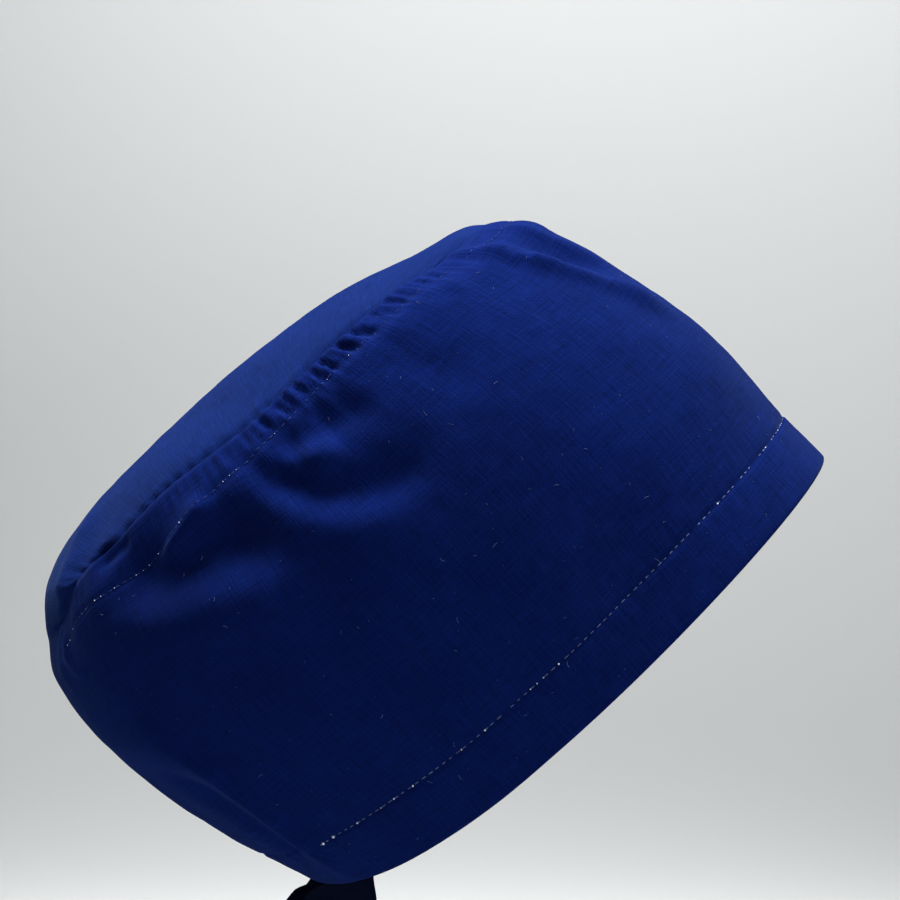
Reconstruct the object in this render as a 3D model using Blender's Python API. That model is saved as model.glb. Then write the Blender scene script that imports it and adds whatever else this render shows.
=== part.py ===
"""A tie-back scrub cap in the form it takes on a head: a side band with a turned-up hem, a long
crown panel that runs from the front seam over the top and down the back to the nape, and two
flat ties that come out of the hem's ends, knot at the nape and hang.

The cloth is worked out in the cap's own frame, in metres: x forward, y to the wearer's left,
z away from the plane of the hem, with the origin on the widest cross-line. Then it is tilted
as it is worn and moved so that the seat on the head, inside the crown, is the origin.
"""

import math

import bmesh
import bpy
import numpy as np
from mathutils import Matrix, Vector

# Cap body: how far it reaches from the widest cross-line, and how high its crown seam stands.
FRONT_REACH = 0.129
BACK_REACH = 0.1135
HALF_WIDTH = 0.087
SEAM_HEIGHT = 0.138
CROWN_RISE = 0.0245
NAPE_LIFT = 0.020
TONGUE_HALF_WIDTH = 0.038
WORN_TILT = math.radians(43.5)

# Cloth: one layer of the wall, the hem's turned-up depth and thickness, the gap between panels
# that are sewn together, and the gap between pieces that touch.
PLY = 0.0012
HEM_DEPTH = 0.020
HEM_THICKNESS = 2.1 * PLY
SEWN_GAP = 0.0007
TOUCH_GAP = 0.0003

# Ties: strap width, thickness and the free tail below the knot.
TIE_WIDTH = 0.025
TIE_THICKNESS = 0.0014
TAIL_LENGTH = 0.110

# How square the plan is, before and behind the widest cross-line (2 is an ellipse), and how
# flat the crown's arch is across.
PLAN_POWER_FRONT = 2.1
PLAN_POWER_BACK = 2.2
ARCH_POWER = 2.2

# How far from its front and back seams the crown's arch is drawn towards them, as shares of its
# length.
FRONT_BLEND = 0.30
BACK_BLEND = 0.55

# Mesh divisions: along each side seam, across the crown's front seam, and along and across the
# ties. The front seam takes this share of the half turn to each side of the middle. The row of
# the crown that the head's seat lies on.
SIDE_STEPS = 39
CROSS_STEPS = 16
FRONT_ARC_SHARE = 0.16
TIE_ROWS = 12
TAIL_ROWS = 14
STRAP_COLUMNS = 4
SEAT_ROW = 9

# Heights of the band's rows, as shares of the way from hem to seam. The hem's second ply ends
# at its last row, and the crown's seam allowance ends at the wall's last row but one.
HEM_SHARE = HEM_DEPTH / SEAM_HEIGHT
HEM_ROWS = (0.0, 0.35 * HEM_SHARE, 0.70 * HEM_SHARE, HEM_SHARE)
WALL_ROWS = (0.152, 0.25, 0.36, 0.47, 0.56, 0.63, 0.70, 0.76, 0.82, 0.87, 0.915, 0.957, 1.0)
BAND_ROWS = HEM_ROWS + WALL_ROWS

# Gathers: how far the puckers stand at the seam, the height where they begin, the share of the
# half turn over which they grow beside the front seam, the columns over which they die out
# before the back corners, and how fast their size wanders from column to column.
GATHER_DEPTH = 0.0011
GATHER_FOOT = 0.87
GATHER_GROWTH = 0.06
GATHER_END_COLUMNS = 3.0
GATHER_WANDER = (1.7, 0.61)

# The crown's own share of the gathers begins this far out from its middle line.
CROWN_GATHER_START = 0.55

# Where the crown's allowance turns its corners, its points spread by these shares of a column
# or row so that they don't fall together: at the front seam's ends, and at the back corners.
FRONT_SPREAD = 0.33
BACK_SPREAD = 0.45
BACK_INSET = 0.90

# The folds' flat cloth: half the band's girth, against which "around" is a share, and the
# shares of a fold's length between which it fades in at each end.
HALF_GIRTH = 0.330
FOLD_END = (-0.15, 0.25)

# The ties' way: the heights and the shares of the half turn between which each follows the inside of
# the hem, how far it sags out under the hem's edge, the shares of its length by which it has
# sagged and where it leaves the wall, how tall it is where it enters the knot, and where the
# knot sits from the nape's lower edge.
TIE_LOW = 0.015
TIE_HIGH = 0.125
TIE_START = 0.770
TIE_END = 0.915
TIE_SAG = 0.018
TIE_SAGGED = 0.60
TIE_LEAVES = 0.40
TIE_PINCH = 0.012
KNOT_BACK = 0.010
KNOT_DROP = 0.011
KNOT_LINE = (0.35, 0.0, 0.94)

# The knot: its half sizes, and the depth, number and slant of the wraps round it.
KNOT_HALF_SIZE = (0.0094, 0.0088, 0.0085)
KNOT_GROOVE = 0.06
KNOT_WRAPS = 3
KNOT_SLANT = 2.4

# The tails: how far they turn from the cap's middle plane, their width at the knot as a share
# of the strap's, where they reach their full width, how far apart they start, how far they
# swing apart, and how they sway.
TAIL_TURN = math.radians(38.0)
TAIL_NECK = 0.45
TAIL_NECK_SHARE = 0.35
TAIL_SPACING = 0.0045
TAIL_SWING = 0.009
TAIL_SWING_SHARE = 0.6
TAIL_SWAY = 0.002
TAIL_SWAY_TURN = 4.0

# Folds of the cloth. Each runs from one place to another, around being a share of the half turn
# from the front and height a share of the way from hem to seam. bow: how far its middle bends
# aside. width: half its breadth. depth: how far it stands out, below 0 for a hollow.
RIGHT_FOLDS = (
    # fold, from around, from height, to around, to height, bow, width, depth
    ("hollow below the gathers", 0.510, 0.905, 0.385, 0.865, 0.000, 0.007, -0.0026),
    ("upper ridge", 0.530, 0.950, 0.440, 0.830, 0.0045, 0.006, 0.0020),
    ("middle hollow", 0.535, 0.925, 0.385, 0.670, 0.0085, 0.008, -0.0038),
    ("middle ridge", 0.580, 0.935, 0.430, 0.620, 0.0095, 0.007, 0.0030),
    ("rear hollow", 0.765, 0.925, 0.555, 0.780, 0.000, 0.011, -0.0048),
    ("short pleat", 0.700, 0.885, 0.600, 0.915, 0.000, 0.005, 0.0024),
    ("lower rear ridge", 0.785, 0.900, 0.570, 0.670, 0.0070, 0.008, 0.0034),
    ("turn to the nape", 0.850, 0.650, 0.815, 0.060, -0.0130, 0.010, 0.0030),
    ("flat beside the nape", 0.900, 0.620, 0.890, 0.100, 0.0000, 0.012, -0.0012),
    ("front crease", 0.150, 0.980, 0.065, 0.500, 0.0000, 0.005, 0.0018),
    ("front hollow", 0.112, 0.960, 0.092, 0.640, 0.0000, 0.006, -0.0014),
    ("middle crease", 0.070, 0.990, 0.085, 0.600, 0.0000, 0.005, 0.0014),
    ("temple dimple", 0.330, 0.920, 0.285, 0.720, 0.0000, 0.011, -0.0014),
)
LEFT_FOLDS = (
    # fold, from around, from height, to around, to height, bow, width, depth
    ("hollow below the gathers", 0.360, 0.880, 0.500, 0.890, 0.0000, 0.009, -0.0026),
    ("middle ridge", 0.560, 0.920, 0.420, 0.650, -0.0060, 0.008, 0.0028),
    ("rear hollow", 0.750, 0.900, 0.600, 0.740, 0.0000, 0.012, -0.0040),
    ("lower rear ridge", 0.800, 0.840, 0.620, 0.600, 0.0050, 0.009, 0.0030),
    ("turn to the nape", 0.840, 0.640, 0.820, 0.060, -0.0100, 0.010, 0.0030),
    ("flat beside the nape", 0.900, 0.600, 0.890, 0.100, 0.0000, 0.012, -0.0012),
    ("front crease", 0.130, 0.980, 0.080, 0.600, 0.0000, 0.006, 0.0014),
)

# The crown's folds, with way being a share of the length of its top and side a share of its
# half width, below 0 to the wearer's right.
CROWN_LENGTH = 0.250
CROWN_HALF_WIDTH = 0.067
CROWN_FOLDS = (
    # fold, from way, from side, to way, to side, bow, width, depth
    ("rear crease", 0.930, -0.950, 0.760, -0.450, 0.000, 0.006, 0.0022),
    ("pocket beside it", 0.860, -0.960, 0.740, -0.800, 0.000, 0.006, -0.0026),
    ("rear dip", 0.980, -0.500, 0.990, 0.450, 0.000, 0.010, -0.0020),
    ("front dip", 0.060, -0.500, 0.080, 0.200, 0.000, 0.008, -0.0012),
    ("far crease", 0.900, 0.900, 0.720, 0.300, 0.000, 0.008, 0.0018),
)

# Outline of the side at each height. height: share of the way from hem to seam. front, width
# and back: shares of FRONT_REACH, HALF_WIDTH and BACK_REACH.
SIDE_SECTIONS = (
    # height, front, width, back
    (0.00, 0.992, 0.920, 0.830),
    (0.10, 0.988, 0.936, 0.868),
    (0.20, 0.991, 0.956, 0.912),
    (0.35, 0.998, 0.989, 0.958),
    (0.55, 0.977, 0.998, 0.996),
    (0.72, 0.936, 0.970, 1.010),
    (0.85, 0.893, 0.911, 0.998),
    (0.93, 0.859, 0.853, 0.980),
    (1.00, 0.777, 0.770, 0.935),
)

# The hem's rise towards the nape. around: share of the half turn from the front. lift: share
# of NAPE_LIFT.
HEM_LIFTS = (
    # around, lift
    (0.00, 0.10),
    (0.50, 0.11),
    (0.60, 0.17),
    (0.68, 0.28),
    (0.75, 0.42),
    (0.80, 0.56),
    (0.86, 0.76),
    (0.93, 0.95),
    (1.00, 1.00),
)

# The crown seam's wander above and below SEAM_HEIGHT, as shares of it.
SEAM_LIFTS = (
    # around, lift
    (0.00, -0.012),
    (0.16, -0.022),
    (0.25, 0.002),
    (0.50, 0.000),
    (0.68, 0.025),
    (0.76, 0.023),
    (0.82, 0.017),
    (0.87, -0.020),
    (1.00, -0.007),
)

# The crown's middle line. reach: share of the way back from the front seam to the back. rise:
# share of CROWN_RISE above that straight way.
RIDGE_LINE = (
    # reach, rise
    (0.000, 0.00),
    (0.028, 0.15),
    (0.146, 0.50),
    (0.249, 0.73),
    (0.342, 0.87),
    (0.423, 0.94),
    (0.500, 0.97),
    (0.580, 0.99),
    (0.650, 1.00),
    (0.723, 0.99),
    (0.788, 0.93),
    (0.847, 0.83),
    (0.905, 0.68),
    (0.953, 0.47),
    (0.988, 0.21),
    (1.000, 0.00),
)

# Half width of the crown panel's tongue down the back, as shares of TONGUE_HALF_WIDTH.
TONGUE_WIDTHS = (
    # height, width
    (0.00, 0.50),
    (0.12, 0.60),
    (0.30, 0.70),
    (0.50, 0.80),
    (0.72, 0.96),
    (0.90, 0.92),
    (1.00, 1.00),
)


def column(table, index):
    """One named column of a table, as numbers."""
    return np.array([row[index] for row in table])


def smooth_through(knots, values, where):
    """A smooth curve through a table's rows, read at where. Its slopes follow the rows beside."""
    knots, values, where = np.asarray(knots), np.asarray(values), np.asarray(where)
    slopes = np.gradient(values, knots)
    flat = np.concatenate([[False], np.diff(values[:-1]) * np.diff(values[1:]) <= 0, [False]])
    slopes = np.where(flat, 0.0, slopes)
    i = np.clip(np.searchsorted(knots, where) - 1, 0, len(knots) - 2)
    span = knots[i + 1] - knots[i]
    t = np.clip((where - knots[i]) / span, 0.0, 1.0)
    rise = values[i + 1] - values[i]
    bow = slopes[i] * span * t * (1 - t) ** 2 - slopes[i + 1] * span * t * t * (1 - t)
    return values[i] + rise * t * t * (3 - 2 * t) + bow


def from_table(table, where, index=1):
    """A table's column read smoothly at where, its first column."""
    return smooth_through(column(table, 0), column(table, index), where)


def faded(edge_low, edge_high, where):
    """0 up to edge_low and 1 from edge_high, smooth between."""
    t = np.clip((where - edge_low) / (edge_high - edge_low), 0.0, 1.0)
    return t * t * (3 - 2 * t)


def wall_height(around, height):
    """How high above the hem's plane the wall is, around being a share of the half turn."""
    hem = NAPE_LIFT * from_table(HEM_LIFTS, around)
    seam = SEAM_HEIGHT * (1 + from_table(SEAM_LIFTS, around))
    return hem + (seam - hem) * height


def half_widths(height):
    """(front reach, half width, back reach) of the outline at a height."""
    return (
        FRONT_REACH * from_table(SIDE_SECTIONS, height, 1),
        HALF_WIDTH * from_table(SIDE_SECTIONS, height, 2),
        BACK_REACH * from_table(SIDE_SECTIONS, height, 3),
    )


def wall_point(angle, height):
    """A point of the smooth side wall: angle from the front, positive to the wearer's left."""
    angle, height = np.broadcast_arrays(angle, height)
    front, width, back = half_widths(height)
    ahead = np.cos(angle) >= 0
    reach = np.where(ahead, front, back)
    power = np.where(ahead, PLAN_POWER_FRONT, PLAN_POWER_BACK)
    across = np.abs(np.sin(angle) / width) ** power
    radius = (np.abs(np.cos(angle) / reach) ** power + across) ** (-1 / power)
    x, y = radius * np.cos(angle), radius * np.sin(angle)
    return np.stack([x, y, wall_height(np.abs(angle) / math.pi, height)], axis=-1)


def back_angle(sideways, height):
    """The angle at which the back wall stands that far from the middle."""
    _, width, back = half_widths(height)
    depth = back * (1 - np.abs(sideways / width) ** PLAN_POWER_BACK) ** (1 / PLAN_POWER_BACK)
    return np.arctan2(np.abs(sideways), -depth)


def seam_angle(height):
    """The angle of the back seam, where the band's end is sewn to the tongue."""
    return back_angle(TONGUE_HALF_WIDTH * from_table(TONGUE_WIDTHS, height), height)


def even_angles(start, end, steps):
    """Angles along the crown seam that cut it into equal lengths."""
    fine = np.linspace(start, end, 400)
    line = wall_point(fine, 1.0)
    way = np.concatenate([[0], np.cumsum(np.linalg.norm(np.diff(line, axis=0), axis=1))])
    return np.interp(np.linspace(0, way[-1], steps + 1), way, fine)


def seam_columns():
    """The angles of the band's columns at the seam, from its right end to its left end."""
    corner, arc = float(seam_angle(1.0)), FRONT_ARC_SHARE * math.pi
    side = even_angles(arc, corner, SIDE_STEPS)
    front = even_angles(-arc, arc, CROSS_STEPS)
    return np.concatenate([-side[::-1], front[1:-1], side])


def band_angles(heights):
    """The angles of the band's columns at some heights, a row for each."""
    return seam_columns()[None, :] * seam_angle(heights) / float(seam_angle(1.0))


def normals_of(grid):
    """Unit normals of a grid of points, pointing out of the cap."""
    normal = np.cross(np.gradient(grid, axis=1), np.gradient(grid, axis=0))
    return normal / np.linalg.norm(normal, axis=-1, keepdims=True)


def raised(grid, amount):
    """A grid of points moved out along its own normals."""
    return grid + normals_of(grid) * np.broadcast_to(amount, grid.shape[:2])[..., None]


def read_grid(grid, row, index):
    """The point of a grid at a row and a column that may lie between its own."""
    low_row, low = int(math.floor(row)), int(math.floor(index))
    next_row, following = min(low_row + 1, len(grid) - 1), min(low + 1, grid.shape[1] - 1)
    lower = grid[low_row, low] + (grid[low_row, following] - grid[low_row, low]) * (index - low)
    upper = grid[next_row, low] + (grid[next_row, following] - grid[next_row, low]) * (index - low)
    return lower + (upper - lower) * (row - low_row)


def fold_lift(folds, around, height, size=(HALF_GIRTH, SEAM_HEIGHT)):
    """How far out the folds push the cloth. Each is a soft ridge, or a hollow where its depth is
    below 0, along a bowed line between two places on the flat cloth."""
    lift = np.zeros(np.broadcast(around, height).shape)
    place = np.stack(np.broadcast_arrays(around * size[0], height * size[1]), axis=-1)
    for _, from_around, from_height, to_around, to_height, bow, width, depth in folds:
        start = np.array([from_around, from_height]) * size
        way = np.array([to_around, to_height]) * size - start
        length = np.hypot(*way)
        along = (place - start) @ way / length**2
        side = (place - start) @ np.array([-way[1], way[0]]) / length - bow * 4 * along * (1 - along)
        ends = faded(*FOLD_END, along) * faded(*FOLD_END, 1 - along)
        lift = lift + depth * np.exp(-((side / width) ** 2)) * ends
    return lift


def gather_wave():
    """How far each column's pucker stands out at the seam: every second one dips instead."""
    place = np.arange(2 * SIDE_STEPS + CROSS_STEPS + 1)
    fast, slow = GATHER_WANDER
    wander = 0.7 + 0.3 * np.sin(place * fast) * np.cos(place * slow)
    around = np.abs(seam_columns()) / math.pi
    grown = faded(FRONT_ARC_SHARE, FRONT_ARC_SHARE + GATHER_GROWTH, around)
    to_end = np.minimum(place, place[::-1])
    grown = grown * faded(0.0, GATHER_END_COLUMNS, to_end)
    return GATHER_DEPTH * wander * grown * np.where(place % 2 == 0, 1.0, -1.0)


def band_faces():
    """The band's outer and inner faces, with its folds, its gathers and the hem's second ply."""
    heights = np.array(BAND_ROWS)[:, None]
    angles = band_angles(heights)
    around = np.abs(angles) / math.pi
    lift = np.where(
        angles < 0,
        fold_lift(RIGHT_FOLDS, around, heights),
        fold_lift(LEFT_FOLDS, around, heights),
    )
    lift = lift + gather_wave()[None, :] * faded(GATHER_FOOT, 1.0, heights)
    outer = raised(wall_point(angles, heights), lift)
    inner = raised(outer, -np.where(heights <= HEM_SHARE, HEM_THICKNESS, PLY))
    return outer, inner


def ridge_line(way):
    """The crown's middle line in x and z, read at shares of its length."""
    reach, rise = column(RIDGE_LINE, 0), column(RIDGE_LINE, 1)
    front, back = wall_point(0.0, 1.0), wall_point(math.pi, 1.0)
    x = front[0] + (back[0] - front[0]) * reach
    z = front[2] + (back[2] - front[2]) * reach + CROWN_RISE * rise
    steps = np.hypot(np.diff(x), np.diff(z))
    knots = np.concatenate([[0], np.cumsum(steps)]) / steps.sum()
    return smooth_through(knots, x, way), smooth_through(knots, z, way)


def crown_surface():
    """The crown panel's smooth outer face: rows from the front seam over the top and down the
    back, columns right to left. Its edges are the band's."""
    columns = seam_columns()
    front_row = wall_point(columns[SIDE_STEPS : SIDE_STEPS + CROSS_STEPS + 1], 1.0)
    across = front_row[:, 1] / front_row[-1, 1]
    edge = wall_point(columns[SIDE_STEPS + CROSS_STEPS :], 1.0)
    way = np.linspace(0.0, 1.0, SIDE_STEPS + 1)
    ridge_x, ridge_z = ridge_line(way)
    arch = np.abs(across) ** ARCH_POWER
    top = np.stack(
        [
            ridge_x[:, None] + (edge[:, 0] - ridge_x)[:, None] * arch,
            edge[:, 1][:, None] * across,
            ridge_z[:, None] + (edge[:, 2] - ridge_z)[:, None] * arch,
        ],
        axis=-1,
    )
    heights = np.array(BAND_ROWS)[::-1, None]
    sideways = TONGUE_HALF_WIDTH * from_table(TONGUE_WIDTHS, heights) * across
    back = wall_point(back_angle(sideways, heights) * np.where(across < 0, -1, 1), heights)
    near_front = 1 - faded(0.0, FRONT_BLEND, way)[:, None, None]
    near_back = faded(1 - BACK_BLEND, 1.0, way)[:, None, None]
    top = top + (front_row - top[0]) * near_front + (back[0] - top[-1]) * near_back
    return np.concatenate([top, back[1:]])


def crown_lift(rows, columns):
    """How far the gathers and folds push the crown's cloth out, over its rows and columns."""
    side = np.linspace(-1, 1, columns)[None, :]
    row = np.arange(rows)
    step = np.minimum(row, SIDE_STEPS)
    wave = gather_wave()
    right_wave, left_wave = wave[SIDE_STEPS - step], wave[SIDE_STEPS + CROSS_STEPS + step]
    on_top = 1 - faded(SIDE_STEPS - GATHER_END_COLUMNS, SIDE_STEPS + 1, row)
    gathers = np.where(side < 0, right_wave[:, None], left_wave[:, None]) * on_top[:, None]
    folds = fold_lift(CROWN_FOLDS, row[:, None] / SIDE_STEPS, side, (CROWN_LENGTH, CROWN_HALF_WIDTH))
    return gathers * faded(CROWN_GATHER_START, 1.0, np.abs(side)) + folds


def crown_faces(band_inner):
    """The crown panel's outer and inner faces. Its border is the seam allowance, which lies
    inside the band's edge all round."""
    under = raised(band_inner, -SEWN_GAP)
    seam_row, last = len(BAND_ROWS) - 1, under.shape[1] - 1
    smooth = crown_surface()
    rows, columns = smooth.shape[:2]
    grid = np.zeros((rows + 1, columns + 2, 3))
    grid[1:, 1:-1] = raised(smooth, crown_lift(rows, columns) - PLY - SEWN_GAP)
    for step in range(CROSS_STEPS + 1):
        inset = FRONT_SPREAD * ((step == 0) - (step == CROSS_STEPS))
        grid[0, step + 1] = read_grid(under, seam_row - 1, SIDE_STEPS + step + inset)
        grid[1, step + 1] = under[seam_row, SIDE_STEPS + step]
    grid[0, 0] = under[seam_row - 1, SIDE_STEPS]
    grid[0, -1] = under[seam_row - 1, last - SIDE_STEPS]
    for row in range(rows):
        to_corner, past_corner = max(SIDE_STEPS - row, 0), max(row - SIDE_STEPS, 0)
        inset = max(to_corner - FRONT_SPREAD * (row == 0), BACK_INSET + BACK_SPREAD * to_corner)
        level = seam_row - (1.0 if past_corner == 0 else max(past_corner, 1 + FRONT_SPREAD))
        grid[row + 1, 1] = under[seam_row - past_corner, to_corner]
        grid[row + 1, -2] = under[seam_row - past_corner, last - to_corner]
        grid[row + 1, 0] = read_grid(under, level, inset)
        grid[row + 1, -1] = read_grid(under, level, last - inset)
    return grid, raised(grid, -PLY)


def knot_centre():
    """The knot's middle: below the lower edge of the crown panel at the nape and behind it."""
    nape = wall_point(math.pi, 0.0)
    return nape + np.array([-KNOT_BACK, 0.0, -KNOT_DROP])


def knot_reach(way):
    """How far the knot's surface is from its middle, along a unit direction."""
    reach = 1 / math.sqrt(sum((a / half) ** 2 for a, half in zip(way, KNOT_HALF_SIZE)))
    turn = math.atan2(way[1], way[0])
    wraps = math.cos(KNOT_WRAPS * turn + KNOT_SLANT * way[2])
    return reach * (1 - KNOT_GROOVE * (1 - way[2] ** 2) * wraps)


def tie_face(side, band_inner):
    """A tie's outer face, from inside the hem's end to the knot: rows along, columns across."""
    under = raised(band_inner, -SEWN_GAP)
    way = np.linspace(0.0, 1.0, TIE_ROWS + 1)
    to_knot = faded(TIE_LEAVES, 1.0, way)
    sag = TIE_SAG * faded(0.0, TIE_SAGGED, way)
    grid = np.zeros((TIE_ROWS + 1, STRAP_COLUMNS + 1, 3))
    for c in range(STRAP_COLUMNS + 1):
        share = c / STRAP_COLUMNS
        beside = side * (knot_reach((0.0, side, 0.0)) + TOUCH_GAP + TIE_THICKNESS)
        end = knot_centre() + np.array([0.0, beside, 0.0])
        end = end + np.array(KNOT_LINE) * (share - 0.5) * TIE_PINCH
        for r in range(TIE_ROWS + 1):
            level = TIE_LOW + (TIE_HIGH - TIE_LOW) * share - sag[r] / SEAM_HEIGHT
            height = max(level, 0.0)
            angles = band_angles(np.array([[height]]))[0]
            turned = side * math.pi * (TIE_START + (TIE_END - TIE_START) * way[r])
            index = np.interp(turned, angles, range(len(angles)))
            row = np.interp(height, BAND_ROWS, range(len(BAND_ROWS)))
            along_wall = read_grid(under, row, index)
            along_wall[2] += (level - height) * SEAM_HEIGHT
            grid[r, c] = along_wall + (end - along_wall) * to_knot[r]
    return grid


def tail_face(side):
    """A hanging tail's outer face, from under the knot straight down as it is worn."""
    down = np.array([-math.sin(WORN_TILT), 0.0, -math.cos(WORN_TILT)])
    level = np.array([math.cos(WORN_TILT), 0.0, -math.sin(WORN_TILT)])
    aside = np.array([0.0, side, 0.0])
    broad = level * math.cos(TAIL_TURN) + aside * math.sin(TAIL_TURN)
    start = knot_centre() + down * (knot_reach(down) + TOUCH_GAP) + aside * TAIL_SPACING
    grid = np.zeros((TAIL_ROWS + 1, STRAP_COLUMNS + 1, 3))
    for r in range(TAIL_ROWS + 1):
        fall = r / TAIL_ROWS
        full = TAIL_NECK + (1 - TAIL_NECK) * faded(0.0, TAIL_NECK_SHARE, fall)
        swing = aside * TAIL_SWING * faded(0.0, TAIL_SWING_SHARE, fall)
        sway = broad * side * TAIL_SWAY * math.sin(TAIL_SWAY_TURN * fall)
        middle = start + down * TAIL_LENGTH * fall + swing + sway
        for c in range(STRAP_COLUMNS + 1):
            grid[r, c] = middle + broad * TIE_WIDTH * full * (c / STRAP_COLUMNS - 0.5)
    return grid


def cloth_material(name, colour, roughness):
    """A woven cotton's plain colour."""
    material = bpy.data.materials.new(name)
    material.use_nodes = True
    shader = material.node_tree.nodes["Principled BSDF"]
    shader.inputs["Base Color"].default_value = (*colour, 1.0)
    shader.inputs["Roughness"].default_value = roughness
    shader.inputs["Metallic"].default_value = 0.0
    return material


def add_object(name, bm, material, place):
    """Put a finished mesh in the scene under its node's name, moved to where it is worn."""
    bmesh.ops.transform(bm, matrix=place, verts=bm.verts)
    bmesh.ops.recalc_face_normals(bm, faces=bm.faces)
    mesh = bpy.data.meshes.new(name)
    bm.to_mesh(mesh)
    bm.free()
    mesh.materials.append(material)
    mesh.shade_smooth()
    mesh.set_sharp_from_angle(angle=math.radians(50))
    made = bpy.data.objects.new(name, mesh)
    bpy.context.scene.collection.objects.link(made)
    return made


def cloth_sheet(name, outer, inner, material, place):
    """A cloth panel as a closed body: a grid shaped to its outer face, extruded to its inner."""
    rows, columns = outer.shape[:2]
    bm = bmesh.new()
    cell = bm.verts.layers.int.new("cell")
    bmesh.ops.create_grid(bm, x_segments=columns - 1, y_segments=rows - 1, size=1.0)
    bm.verts.ensure_lookup_table()
    for index, vertex in enumerate(bm.verts):
        vertex[cell] = index
        vertex.co = outer[divmod(index, columns)]
    bmesh.ops.triangulate(bm, faces=bm.faces, quad_method="FIXED")
    made = bmesh.ops.extrude_face_region(bm, geom=bm.faces[:], use_keep_orig=True)["geom"]
    for vertex in [item for item in made if isinstance(item, bmesh.types.BMVert)]:
        vertex.co = inner[divmod(vertex[cell], columns)]
    return add_object(name, bm, material, place)


def knot_body(material, place):
    """The knot: a rounded lump with the grooves of the straps wrapped round it."""
    bm = bmesh.new()
    bmesh.ops.create_uvsphere(bm, u_segments=20, v_segments=12, radius=1.0)
    for vertex in bm.verts:
        vertex.co = Vector(knot_centre()) + vertex.co * knot_reach(vertex.co)
    return add_object("tie_knot", bm, material, place)


def main():
    for old in list(bpy.data.objects):
        bpy.data.objects.remove(old)
    navy = cloth_material("navy_cloth", (0.012, 0.022, 0.110), 0.85)
    navy_crown = cloth_material("navy_crown_cloth", (0.014, 0.026, 0.125), 0.85)
    navy_tie = cloth_material("navy_tie_cloth", (0.008, 0.014, 0.070), 0.85)
    band_outer, band_inner = band_faces()
    crown_outer, crown_inner = crown_faces(band_inner)
    seat = crown_inner[SEAT_ROW, crown_inner.shape[1] // 2]
    tilt = Matrix.Rotation(-WORN_TILT, 4, "Y")
    place = tilt @ Matrix.Translation(-Vector(seat))
    cloth_sheet("side_band", band_outer, band_inner, navy, place)
    cloth_sheet("crown_panel", crown_outer, crown_inner, navy_crown, place)
    for side, name in ((-1, "right"), (1, "left")):
        tie = tie_face(side, band_inner)
        cloth_sheet(f"tie_{name}", tie, raised(tie, side * TIE_THICKNESS), navy_tie, place)
        tail = tail_face(side)
        cloth_sheet(f"tail_{name}", tail, raised(tail, TIE_THICKNESS), navy_tie, place)
    knot_body(navy_tie, place)


main()
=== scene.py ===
"""The looks of a worn tie-back scrub cap: a hemmed side band gathered to a long crown panel, with
its stitching, its ties, their knot and tails, and the lint on the cloth."""

import math

import bmesh
import bpy
import numpy as np
from bpy.props import FloatProperty, FloatVectorProperty, IntProperty, PointerProperty
from mathutils import Matrix, Vector


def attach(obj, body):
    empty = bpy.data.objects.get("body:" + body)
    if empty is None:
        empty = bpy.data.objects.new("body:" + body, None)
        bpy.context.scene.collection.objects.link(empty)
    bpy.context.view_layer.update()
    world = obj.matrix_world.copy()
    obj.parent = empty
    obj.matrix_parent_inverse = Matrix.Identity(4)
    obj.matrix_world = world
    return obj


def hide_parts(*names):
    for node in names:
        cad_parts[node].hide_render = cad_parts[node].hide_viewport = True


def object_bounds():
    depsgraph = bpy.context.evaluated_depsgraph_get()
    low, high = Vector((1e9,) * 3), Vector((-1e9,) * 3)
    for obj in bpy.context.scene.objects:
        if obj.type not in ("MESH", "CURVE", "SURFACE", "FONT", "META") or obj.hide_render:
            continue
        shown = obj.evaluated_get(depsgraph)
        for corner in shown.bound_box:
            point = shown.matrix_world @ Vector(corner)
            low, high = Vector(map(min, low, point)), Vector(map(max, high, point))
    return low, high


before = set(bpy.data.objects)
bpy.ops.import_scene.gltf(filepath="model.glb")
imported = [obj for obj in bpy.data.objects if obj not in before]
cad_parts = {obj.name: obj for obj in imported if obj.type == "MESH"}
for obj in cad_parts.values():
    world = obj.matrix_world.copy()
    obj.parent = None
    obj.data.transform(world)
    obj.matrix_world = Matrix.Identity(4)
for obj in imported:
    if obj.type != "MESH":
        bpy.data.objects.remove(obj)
CAD_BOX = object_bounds()

bl_info = {
    "name": "Worn Scrub Cap",
    "version": (1, 0, 0),
    "blender": (4, 5, 0),
    "location": "View3D > Sidebar > Scrub Cap",
    "description": "Builds the cloth, stitching and ties of a worn tie-back scrub cap",
    "category": "Object",
}

# Cap body: how far it reaches from the widest cross-line, and how high its crown seam stands.
FRONT_REACH = 0.129
BACK_REACH = 0.1135
HALF_WIDTH = 0.087
SEAM_HEIGHT = 0.138
CROWN_RISE = 0.0245
NAPE_LIFT = 0.020
TONGUE_HALF_WIDTH = 0.038
WORN_TILT = math.radians(43.5)
SEAT = (0.0577904, 0.0, 0.1490187)

# How square the plan is before and behind the widest cross-line, and how flat the crown's arch.
PLAN_POWER_FRONT = 2.1
PLAN_POWER_BACK = 2.2
ARCH_POWER = 2.2
FRONT_BLEND = 0.30
BACK_BLEND = 0.55

# The front seam takes this share of the half turn to each side of the middle. The flat cloth's
# half girth, against which "around" is a share.
FRONT_ARC_SHARE = 0.16
HALF_GIRTH = 0.330
FOLD_END = (-0.15, 0.25)

# Divisions of the cloth: along each side seam, across the front seam, and how far apart the
# band's rows lie near its seam, elsewhere and beside the hem's stitches.
SIDE_COLUMNS = 192
FRONT_COLUMNS = 72
FINE_ROW = 0.0009
WIDE_ROW = 0.0026
FINE_REACH = 0.026
HEM_ROW = 0.0006
HEM_REACH = 0.0036

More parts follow.
